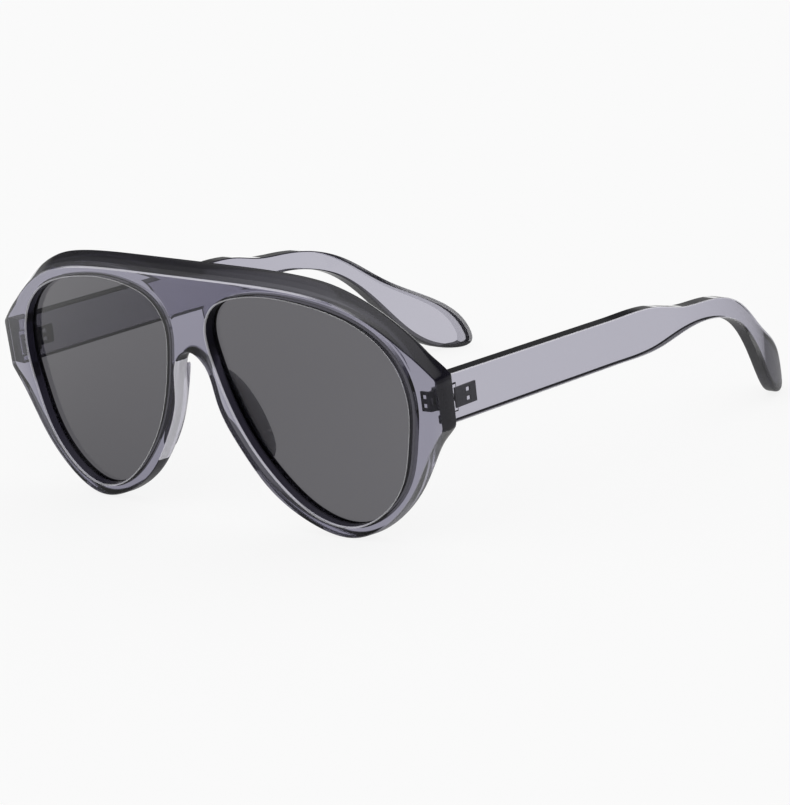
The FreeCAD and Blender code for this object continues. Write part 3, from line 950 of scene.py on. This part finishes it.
        # Painted highlight along the brow's front edge, fading out towards the end.
        fade_end = self.form.end_x - self.dark_run
        bright = np.where(brow, 1.0 - smoothstep(x, self.form.eye_middle[0], fade_end), 0.0)[:, None]
        look[:, :ROUND_FACES] += bright * (self.painted_edge_highlight - look[:, :ROUND_FACES])
        return look

    def build(self) -> bpy.types.Object:
        """Faces hole + share (outline - hole) in front and behind, joined by the outer and inner walls.

        Returns:
            The piece.
        """
        form = self.form
        path = self.outline()
        edge = along(path, crowded(path, self.step, self.turn))
        normal = outward(edge)
        normal[0], normal[-1] = (0.0, 1.0), (0.0, -1.0)
        edge[0, 0] = edge[-1, 0] = 0.0
        ended = smoothstep(form.end_x - edge[:, 0], self.crest_run, 0.0)
        inset, depth = self.outer_profile(edge[:, 2], edge[:, 3], ended)
        wall = edge[:, None, :2] - normal[:, None] * inset[..., None]
        middle = np.linspace(0.0, 1.0, self.bridge_points)[1:-1, None]
        into, down = self.opening_profile()

        def loop(column: int) -> np.ndarray:
            """One line of the outer wall, closed along the middle line."""
            line = wall[:, column]
            return np.vstack([line, line[-1] + middle * (line[0] - line[-1])])

        outer, rear = loop(0), loop(-1)
        hole, hole_normal = form.opening(self.matched(np.vstack([edge[:, :2], outer[len(edge):]])))
        shell = Shell()
        share = np.linspace(0.0, 1.0, self.face_rows)[:, None, None]
        for line, column, level in ((outer, 0, 0.0), (rear, -1, self.depth)):
            inner = hole + hole_normal * into[column]
            face = inner + share * (line - inner)
            shell.sheet(self.seated(form.place(face[..., 0], level, face[..., 1])), closed=True)
        # The outer wall carries painted shade and painted highlights.
        look = self.outer_painted_light(edge, depth.shape[1] - 1)
        shell.sheet(self.seated(form.place(wall[..., 0], depth, wall[..., 1])), wall=look)
        ring = hole[None] + hole_normal[None] * into[:, None, None]
        # Painted shade on the openings' walls, under a painted highlight along their front edge.
        look = np.where(np.arange(len(into) - 1) < ROUND_FACES, self.opening_painted_highlight, PAINTED_SHADE)[:, None]
        ring = self.seated(form.place(ring[..., 0], down[:, None], ring[..., 1]))
        shell.sheet(ring, closed=True, wall=look)
        shell.mirror()
        return shell.build("front_moulding")

    def dress(self) -> None:
        """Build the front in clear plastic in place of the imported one."""
        dress(self.build(), FRONT_PLASTIC, "front", "front_plastic", "front_frame")


@dataclass
class Lens:
    """A smoked lens held in the front's groove.

    Attributes:
        form: Shape of the front.
        side: Which lens.
        stand_off: Edge of the lens beyond the opening.
        recess, thickness: Layer that the lens fills.
        bevel: Bevel of the edge.
        edge_points, rings: Points round the edge, and rings of a face.
    """

    form: FrontForm
    side: Side
    stand_off: float = 0.72
    recess: float = 2.53
    thickness: float = 1.54
    bevel: float = 0.2
    edge_points: int = 220
    rings: int = 14

    def build(self) -> bpy.types.Object:
        """Middle + share (edge - middle) on both faces, as rings, and a bevelled edge between them.

        Returns:
            The piece.
        """
        form = self.form
        stations = np.linspace(0.0, form.eye_curve.knots[-1], self.edge_points, endpoint=False)
        edge, normal = form.opening(stations)
        rim = edge + normal * self.stand_off
        inner = edge + normal * (self.stand_off - self.bevel)
        share = np.linspace(0.0, 1.0, self.rings)[:, None, None]
        disc = form.eye_middle + share * (inner - form.eye_middle)
        front, back = self.recess, self.recess + self.thickness
        shell = Shell()
        for level in (front, back):
            shell.sheet(form.place(disc[..., 0], level, disc[..., 1]), closed=True)
        band = np.stack([inner, rim, rim, inner])
        levels = np.array([front, front + self.bevel, back - self.bevel, back])[:, None]
        shell.sheet(form.place(band[..., 0], levels, band[..., 1]), closed=True)
        shell.flip_side(self.side)
        return shell.build(self.side.node("smoked_lens"))

    def dress(self) -> None:
        """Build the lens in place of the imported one."""
        dress(self.build(), LENS_TINT, "front", "lens_tint", self.side.node("lens"))


@dataclass
class NosePad:
    """A clear pad on the back of the nasal rim.

    Attributes:
        form: Shape of the front.
        side: Which pad.
        half_height, centre: Its upright reach about the lens centre line.
        reach, half_thickness: Half of its section's length and thickness.
        splay: Degrees that the section turns out towards the back.
        root, seat: Depth of the sections' middle line, and of the rim's back face, where they are cut.
        sections: Heights from bottom to top, and shares of the reach and thickness there.
        fine, levels, section_points: Points of the dense flank, levels, and points round each.
    """

    form: FrontForm
    side: Side
    half_height: float = 11.0
    centre: float = -4.0
    reach: float = 4.2
    half_thickness: float = 1.25
    splay: float = 30.0
    root: float = 5.0
    seat: float = 5.02
    sections: tuple[tuple[float, float, float], ...] = (
        (-1.0, 0.0, 0.0), (-0.97, 0.24, 0.45), (-0.85, 0.55, 0.75), (-0.6, 0.84, 0.92), (-0.1, 1.0, 1.0),
        (0.4, 0.89, 0.95), (0.75, 0.62, 0.8), (0.95, 0.3, 0.5), (1.0, 0.0, 0.0))
    fine: int = 400
    levels: int = 60
    section_points: int = 48

    def build(self) -> bpy.types.Object:
        """Stack of ellipses: middle + reach cos(a) along the splay + thickness sin(a) across it.

        Returns:
            The piece.
        """
        form = self.form
        flank = SmoothCurve(form.rim_points("rim_nasal"))
        line = flank.sweep(0.0, flank.knots[-1], self.fine)
        table = SmoothCurve(np.array(self.sections))
        section = table.sweep(0.0, table.knots[-1], self.levels)
        height = self.centre + np.clip(section[:, 0], -1.0, 1.0) * self.half_height
        splay = math.radians(self.splay)
        long = np.maximum(section[:, 1], 0.0)[:, None] * self.reach
        across = np.maximum(section[:, 2], 0.0)[:, None] * self.half_thickness
        order = np.argsort(line[:, 1])
        foot = np.interp(height, line[order, 1], line[order, 0])[:, None]
        angle = np.linspace(0.0, 2.0 * math.pi, self.section_points, endpoint=False)[None]
        x = (foot + self.half_thickness + long * math.sin(splay) + long * np.cos(angle) * math.sin(splay)
             - across * np.sin(angle) * math.cos(splay))
        back = (self.root + long * np.cos(angle) * math.cos(splay)
                + across * np.sin(angle) * math.sin(splay))
        shell = Shell()
        shell.sheet(form.place(x, np.maximum(back, self.seat), height[:, None] + 0 * x), closed=True)
        shell.flip_side(self.side)
        return shell.build(self.side.node("clear_pad"))

    def dress(self) -> None:
        """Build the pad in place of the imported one."""
        dress(self.build(), PAD_PLASTIC, "front", "pad_plastic", self.side.node("nose_pad"))


@dataclass
class Temple:
    """A folding temple: a straight shank, a neck, and a tip that bends down behind the ear and curls inwards.

    Attributes:
        form: Shape of the front, which the temple closes against.
        side: Which temple.
        length: Along the middle line.
        drop, fall: Middle line below the hinge at the butt, and degrees that the shank falls.
        bend_start, bend_radius, bend_angle: The ear bend.
        taper: From full height to the bend.
        full_height, neck_height, paddle_height: Heights of the shank, neck and tip.
        thickness, inset: Across, and outer face in from the front's end face.
        curl_start, curl_radius: The inward curl.
        gap: Butt to endpiece.
        edge_round, tip_round: Reach of the edges' rounding on the shank and on the tip.
        flat_margin: Width of the face beside a rounding that holds the wall's normals flat.
        shank_painted_shade, tip_upper_painted_highlight, tip_lower_painted_shade, painted_edge_highlight:
        Wall attribute of the painted shade on the shank's edges,
            of the painted highlight on the tip's upper edge and the painted shade on its lower edge, and of
            the painted highlight on the rounding towards the outer face.
        round_run, look_run: Stations from which to which the tip's rounding and its painted look take over.
        stations: Stretch, share of it, height's name, share of it over the neck, and share above the line.
        blunt: Share of the tip's height by which its rounding reaches back and aside.
        pocket: Room for the knuckles in the inner face: depth, length from the butt and half height.
        step, turn: Largest distance in millimetres and turn in radians between columns.
        butt_run, butt_step, butt_margin: Finer columns at the butt: their reach, their distance, and the
            least distance to the next column.
        fine: Points of the dense shank and of the dense curve behind it.
        face_rows: Rows of a face.
        butt: Place of the butt in side view.
    """

    form: FrontForm
    side: Side
    length: float = 147.4
    drop: float = 0.7
    fall: float = 0.7
    bend_start: float = 91.0
    bend_radius: float = 21.0
    bend_angle: float = 40.1
    taper: float = 36.0
    full_height: float = 10.9
    neck_height: float = 4.9
    paddle_height: float = 12.2
    thickness: float = 4.0
    inset: float = 0.2
    curl_start: float = 78.0
    curl_radius: float = 99.0
    gap: float = 0.1
    edge_round: float = 0.25
    tip_round: float = 1.2
    flat_margin: float = 0.1
    shank_painted_shade: float = PAINTED_SHADE
    tip_upper_painted_highlight: float = -0.45
    tip_lower_painted_shade: float = 0.93
    painted_edge_highlight: float = -0.8
    round_run: tuple[float, float] = (5.0, 9.0)
    look_run: tuple[float, float] = (5.5, 7.5)
    stations: tuple[tuple[str, float, str, float, float], ...] = (
        ("shank", 0.0, "full_height", 1.1, 0.61), ("taper", 0.0, "full_height", 1.0, 0.55),
        ("taper", 0.46, "full_height", 0.82, 0.535), ("taper", 0.69, "full_height", 0.22, 0.525),
        ("taper", 0.91, "full_height", 0.0, 0.53), ("bend", 0.4, "full_height", 0.0, 0.43),
        ("paddle", 0.0, "paddle_height", 0.0, 0.62), ("paddle", 0.35, "paddle_height", 0.22, 0.59),
        ("paddle", 0.68, "paddle_height", 0.87, 0.505))
    blunt: float = 1.0 / 3.0
    pocket: tuple[float, float, float] = (0.45, 3.0, 3.2)
    step: float = 1.2
    turn: float = 0.1
    butt_run: float = 5.0
    butt_step: float = 0.25
    butt_margin: float = 0.2
    fine: tuple[int, int] = (300, 1600)
    face_rows: int = 30
    butt: float = field(init=False)

    def __post_init__(self) -> None:
        """Place the butt against the front."""
        self.butt = self.form.butt_y + self.gap

    def line(self, where: np.ndarray, aside: np.ndarray) -> np.ndarray:
        """Side view, y and z: a falling straight line, an arc of bend_radius, and a straight line again.

        Args:
            where: Distances along the middle line.
            aside: Distances above it.

        Returns:
            Points, one row each.
        """
        fall, turn = math.radians(self.fall), math.radians(self.bend_angle)
        straight = np.minimum(where, self.bend_start)
        angle = np.clip((where - self.bend_start) / self.bend_radius, 0.0, turn)
        rest = np.maximum(where - self.bend_start - self.bend_radius * turn, 0.0)
        heading = fall + angle
        y = (self.butt + straight * math.cos(fall)
             + self.bend_radius * (np.sin(heading) - math.sin(fall))
             + rest * np.cos(heading) + aside * np.sin(heading))
        z = (self.form.hinge_height - self.drop - straight * math.sin(fall)
             - self.bend_radius * (math.cos(fall) - np.cos(heading))
             - rest * np.sin(heading) + aside * np.cos(heading))
        return np.stack([y, z], axis=1)

    def edges(self) -> tuple[np.ndarray, np.ndarray]:
        """Upper and lower edge in side view, from the butt to the tip, as dense polylines.

        The third column counts the stations, so that the two edges can be matched.

        Returns:
            The two edges, rows of y, z and station.
        """
        bend_end = self.bend_start + self.bend_radius * math.radians(self.bend_angle)
        taper_start = self.bend_start - self.taper
        stretches = {"shank": (-self.thickness, taper_start), "taper": (taper_start, self.bend_start),
                     "bend": (self.bend_start, bend_end), "paddle": (bend_end, self.length)}
        starts = np.array([stretches[name] for name, *_ in self.stations])
        where = starts[:, 0] + np.array([row[1] for row in self.stations]) * (starts[:, 1] - starts[:, 0])
        full = np.array([getattr(self, row[2]) for row in self.stations])
        share, above = np.array([row[3:] for row in self.stations]).T
        height = self.neck_height + share * (full - self.neck_height)
        top, low = self.line(where, above * height), self.line(where, (above - 1.0) * height)
        blunt = self.paddle_height * self.blunt
        tip = self.line(np.array([self.length - blunt, self.length, self.length - blunt]),
                        np.array([blunt, 0.0, -blunt]))
        ends = (top[1] - top[0], low[0] - low[1])
        round_tip = SmoothCurve(np.vstack([top[1:], tip, low[:0:-1]]),
                                ends=tuple(end / np.linalg.norm(end) for end in ends))
        middle = len(top)
        shank_count, curve_count = self.fine
        result = []
        for first, knots in ((top, round_tip.knots[:middle + 1]), (low, round_tip.knots[:middle - 1:-1])):
            spread = np.linspace(knots[0], knots[-1], curve_count)
            order = np.argsort(knots)
            station = np.interp(spread, knots[order], order + 1.0)
            curve = np.column_stack([round_tip.at(spread), station])
            share = (self.butt - first[0, 0]) / (first[1, 0] - first[0, 0])
            start = first[0] + (first[1] - first[0]) * share
            shank = np.linspace(np.append(start, 0.0), curve[0], shank_count)
            result.append(np.vstack([shank[:-1], curve]))
        return result[0], result[1]

    def place(self, across: np.ndarray, y: np.ndarray, z: np.ndarray) -> np.ndarray:
        """Points in metres: straight in plan up to curl_start, and on circles about one centre past it.

        Args:
            across: Distances from mid thickness, outwards.
            y: Places in side view.
            z: Heights in side view.

        Returns:
            Points, with a last axis of 3.
        """
        past = np.maximum(y - self.butt - self.curl_start, 0.0)
        middle = self.form.end_x - self.inset - self.thickness / 2.0
        x = middle - self.curl_radius + np.sqrt((self.curl_radius + across) ** 2 - past ** 2)
        return (np.stack(np.broadcast_arrays(x, y, z), -1) + self.form.stand) * MM

    def build(self) -> bpy.types.Object:
        """Faces upper + share (lower - upper) between the two edges, and a rounded wall along the edges.

        Returns:
            The piece.
        """
        half = self.thickness / 2.0
        top_path, low_path = self.edges()
        stations = crowded(top_path, self.step, self.turn)
        near = np.arange(0.0, self.butt_run, self.butt_step)
        stations = np.concatenate([near, stations[stations > near[-1] + self.butt_margin]])
        top = along(top_path, stations)
        lengths = arc_lengths(low_path)
        low = along(low_path, np.interp(top[:, 2], low_path[:, 2], lengths))
        loop = np.vstack([top, low[-2::-1]])
        normal = outward(loop)
        rounder = smoothstep(loop[:, 2], *self.round_run)
        reach = self.edge_round + (self.tip_round - self.edge_round) * rounder
        zero = np.zeros_like(reach)
        outer, inner = np.stack([zero, zero + half], axis=1), np.stack([zero, zero - half], axis=1)
        side, rise = np.stack([reach, zero], axis=1), np.stack([zero, reach], axis=1)
        beside = np.array([0.0, self.flat_margin])
        profile = np.concatenate([rounded_corner(outer, outer + side, outer - rise),
                                  (outer - rise - beside)[:, None], (inner + rise + beside)[:, None],
                                  rounded_corner(inner, inner + rise, inner + side)], axis=1)
        band = loop[:, None, :2] - normal[:, None] * profile[..., :1]
        band[[0, -1], :, 0] = self.butt
        shell = Shell()
        count = len(top)
        # Painted shade on the shank's edges; on the tip, a painted highlight on the upper edge and painted
        # shade on the lower.
        tip = smoothstep(loop[:-1, 2], *self.look_run)
        tip_look = np.where(np.arange(len(tip)) < count - 1, self.tip_upper_painted_highlight, self.tip_lower_painted_shade)
        look = self.shank_painted_shade + (tip_look - self.shank_painted_shade) * tip
        look = np.repeat(look[:, None], profile.shape[1] - 1, axis=1)
        # Painted highlight on the rounding towards the outer face, fading out on the tip.
        look[:, :ROUND_FACES] += (1.0 - tip)[:, None] * (self.painted_edge_highlight - look[:, :ROUND_FACES])
        shell.sheet(self.place(profile[..., 1], band[..., 0], band[..., 1]), wall=look)
        share = np.linspace(0.0, 1.0, self.face_rows)[:, None, None]
        for column, across in ((0, half), (-1, -half)):
            upper, lower = band[:count, column], band[count - 1:, column][::-1]
            face = upper + share * (lower - upper)
            level = np.full(face.shape[:2], across)
            if across < 0:
                depth, run, tall = self.pocket
                level += depth * ((face[..., 0] < self.butt + run)
                                  & (np.abs(face[..., 1] - self.form.hinge_height) < tall))
            shell.sheet(self.place(level, face[..., 0], face[..., 1]))
        shell.flip_side(self.side)
        return shell.build(self.side.node("clear_temple"))

    def dress(self) -> None:
        """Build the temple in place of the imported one."""
        node = self.side.node("temple")
        dress(self.build(), TEMPLE_PLASTIC, f"{node}_arm", "temple_plastic", node)


@dataclass
class Hinge:
    """The steel of one hinge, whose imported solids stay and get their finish.

    Attributes:
        side: Which hinge.
        finishes: Finish of each piece.
    """

    side: Side
    finishes: tuple[tuple[str, Steel], ...] = (
        ("front_hinge_leaf", HINGE_STEEL), ("temple_hinge_leaf", HINGE_STEEL), ("hinge_screw", SCREW_STEEL))

    def dress(self) -> None:
        """Give the leaves and the screw their steel."""
        for piece, finish in self.finishes:
            node = frame["nodes"][self.side.node(piece)]
            node.data.materials.clear()
            node.data.materials.append(finish.material())


@dataclass
class Studio:
    """White table under soft light in a dark room, and the camera of the photograph.

    Attributes:
        form: Shape of the front, which the camera's place is given from.
        white, dark: Brightness of the table and the backdrop, and of the table in the dark.
        sheen: Brightness of the table's far side in gloss, which the far lens shows.
        sheen_reach: Places on the table, in metres along X, where the sheen starts and is full.
        table_radius, table_grid: Reach of the table in metres, and its rings and spokes.
        paper: Grey of the table's matt share.
        shadow_share: Share of the table's look that takes shadows.
        outer_room, inner_room: Heights and grey levels of the room, as gloss shows it and as light thrown
            back inside a clear piece does.
        azimuth, elevation, roll: Camera angles in degrees.
        distance, shift_right, shift_up: Camera from the reference point, in millimetres.
        reference: Reference point from the front's stand, in millimetres.
        focal_pixels, picture_height: Focal length and picture height, in pixels.
    """

    form: FrontForm
    white: float = 0.973
    dark: float = 0.25
    sheen: float = 1.5
    sheen_reach: tuple[float, float] = (-0.02, -0.32)
    table_radius: float = 6.0
    table_grid: tuple[int, int] = (5, 64)
    paper: float = 0.9
    shadow_share: float = 0.12
    outer_room: tuple[tuple[float, float], ...] = (
        (0.0, 0.25), (0.13, 0.25), (0.22, 0.06), (0.62, 0.05), (0.86, 1.0))
    inner_room: tuple[tuple[float, float], ...] = ((0.0, 0.45), (0.62, 0.4), (0.86, 1.0))
    azimuth: float = 45.63
    elevation: float = 14.96
    roll: float = -6.46
    distance: float = 963.0
    shift_right: float = 46.6
    shift_up: float = 1.3
    reference: tuple[float, float, float] = (0.0, 0.123, -2.146)
    focal_pixels: float = 4088.0
    picture_height: float = 805.0

    def camera(self) -> None:
        """Camera turned by the three angles, and moved aside so that the glasses sit as in the picture."""
        azimuth, elevation, roll = np.radians([self.azimuth, self.elevation, self.roll]).tolist()
        back = Vector((math.sin(azimuth) * math.cos(elevation),
                       -math.cos(azimuth) * math.cos(elevation),
                       math.sin(elevation)))
        level = Vector((math.cos(azimuth), math.sin(azimuth), 0.0))
        upright = back.cross(level)
        right = math.cos(roll) * level + math.sin(roll) * upright
        up = -math.sin(roll) * level + math.cos(roll) * upright
        place = (Vector(self.form.stand + np.array(self.reference)) + back * self.distance
                 + right * self.shift_right + up * self.shift_up) * MM
        data = bpy.data.cameras.new("photo_camera")
        data.sensor_fit = "VERTICAL"
        data.lens = self.focal_pixels / self.picture_height * data.sensor_height
        camera = bpy.data.objects.new("photo_camera", data)
        camera.matrix_world = Matrix.Translation(place) @ Matrix((right, up, back)).transposed().to_4x4()
        bpy.context.scene.collection.objects.link(camera)
        bpy.context.scene.camera = camera

    def table(self) -> None:
        """Round white table: rings of points about the origin."""
        rings, spokes = self.table_grid
        angle = np.linspace(0.0, 2.0 * math.pi, spokes, endpoint=False)[None]
        radius = np.linspace(0.0, self.table_radius, rings)[:, None]
        across, deep = radius * np.cos(angle), radius * np.sin(angle)
        grid = np.stack([across, deep, np.zeros_like(across)], -1)
        shell = Shell()
        shell.sheet(grid, closed=True)
        mesh = bpy.data.meshes.new("table")
        mesh.from_pydata(shell.points[0].tolist(), [], shell.faces[0].tolist())
        table = bpy.data.objects.new("table", mesh)
        bpy.context.scene.collection.objects.link(table)
        mesh.materials.append(self.table_finish())

    @staticmethod
    def thrown_back(nodes: Nodes) -> bpy.types.Node:
        """Tell light thrown back inside a clear piece, which was both let through and mirrored.

        Args:
            nodes: Tree to add to.

        Returns:
            Node that is 1 for such light, and 0 for any other.
        """
        light = nodes.add("LightPath")
        # Depths are whole numbers, so more than a half is at least once.
        mirrored, let_through = (nodes.math("GREATER_THAN", light.outputs[depth], 0.5).outputs["Value"]
                                 for depth in ("Glossy Depth", "Transmission Depth"))
        return nodes.math("MULTIPLY", mirrored, let_through)

    def table_finish(self) -> bpy.types.Material:
        """Matt white that keeps a share of the shadow; gloss shows it in the dark, with a lighter far side.

        Returns:
            The material.
        """
        material, nodes = new_material("table_white")
        light = nodes.add("LightPath")
        seen = nodes.math("MAXIMUM", light.outputs["Is Camera Ray"], light.outputs["Is Glossy Ray"])
        shown = nodes.math("MAXIMUM", seen.outputs["Value"], light.outputs["Is Transmission Ray"])
        share = nodes.math("MULTIPLY", shown.outputs["Value"], 1.0 - self.shadow_share)
        paper = nodes.add("BsdfDiffuse", {"Color": (self.paper, self.paper, self.paper, 1.0)})
        level = nodes.add("MapRange", {"To Min": self.white})
        nodes.link(light, "Glossy Depth", level, "Value")
        spot = nodes.add("NewGeometry")
        split = nodes.add("SeparateXYZ")
        nodes.link(spot, "Position", split, "Vector")
        start, full = self.sheen_reach
        sheen = nodes.add("MapRange", {"From Min": start, "From Max": full, "To Min": self.dark,
                                       "To Max": self.sheen}, interpolation_type="SMOOTHSTEP")
        nodes.link(split, "X", sheen, "Value")
        nodes.link(sheen, "Result", level, "To Max")
        glow = nodes.add("Emission")
        nodes.link(level, "Result", glow, "Strength")
        mixed = nodes.add("MixShader")
        nodes.link(share, "Value", mixed, "Fac")
        nodes.link(paper, "BSDF", mixed, 1)
        nodes.link(glow, "Emission", mixed, 2)
        output = nodes.add("OutputMaterial")
        nodes.link(mixed, "Shader", output, "Surface")
        return material

    @staticmethod
    def ramp(nodes: Nodes, height: bpy.types.Node, steps: tuple[tuple[float, float], ...]) -> bpy.types.Node:
        """Grey levels of the room by the height of a direction.

        Args:
            nodes: Tree to add to.
            height: Node whose Z output is the height, from -1 to 1.
            steps: Heights and grey levels.

        Returns:
            The ramp node.
        """
        ramp = nodes.add("ValToRGB")
        for position, _ in steps[len(ramp.color_ramp.elements):]:
            ramp.color_ramp.elements.new(position)
        for element, (position, level) in zip(ramp.color_ramp.elements, steps):
            element.position = position
            element.color = (level, level, level, 1.0)
        nodes.link(height, "Z", ramp, "Fac")
        return ramp

    def room(self) -> None:
        """World: white to the camera and to matt surfaces, and a dark room with a lit ceiling to gloss."""
        world = bpy.data.worlds.new("room")
        bpy.context.scene.world = world
        world.use_nodes = True
        nodes = Nodes(world.node_tree)
        place = nodes.add("TexCoord")
        split = nodes.add("SeparateXYZ")
        nodes.link(place, "Generated", split, "Vector")
        gloss = nodes.add("Mix", data_type="RGBA")
        nodes.link(self.thrown_back(nodes), "Value", gloss, "Factor")
        nodes.link(self.ramp(nodes, split, self.outer_room), "Color", gloss, "A")
        nodes.link(self.ramp(nodes, split, self.inner_room), "Color", gloss, "B")
        light = nodes.add("LightPath")
        soft = nodes.math("MAXIMUM", light.outputs["Is Camera Ray"], light.outputs["Is Diffuse Ray"])
        shade = nodes.add("Mix", {"B": (self.white, self.white, self.white, 1.0)}, data_type="RGBA")
        nodes.link(soft, "Value", shade, "Factor")
        nodes.link(gloss, "Result", shade, "A")
        sky = nodes.add("Background")
        nodes.link(shade, "Result", sky, "Color")
        output = nodes.add("OutputWorld")
        nodes.link(sky, "Background", output, "Surface")

    def set_up(self) -> None:
        """Make the table, the room and the camera."""
        self.table()
        self.room()
        self.camera()
        bpy.context.scene.view_settings.view_transform = "Standard"


def main() -> None:
    """Build the sub-assemblies in order, then the studio."""
    logging.basicConfig(level=logging.INFO, format="%(name)s: %(message)s")
    form = FrontForm()
    FrontFrame(form).dress()
    for side in Side:
        for piece in (Lens(form, side), NosePad(form, side), Temple(form, side), Hinge(side)):
            piece.dress()
            log.info("%s %s dressed", side.name.lower(), type(piece).__name__)
    Studio(form).set_up()


if __name__ == "__main__":
    main()
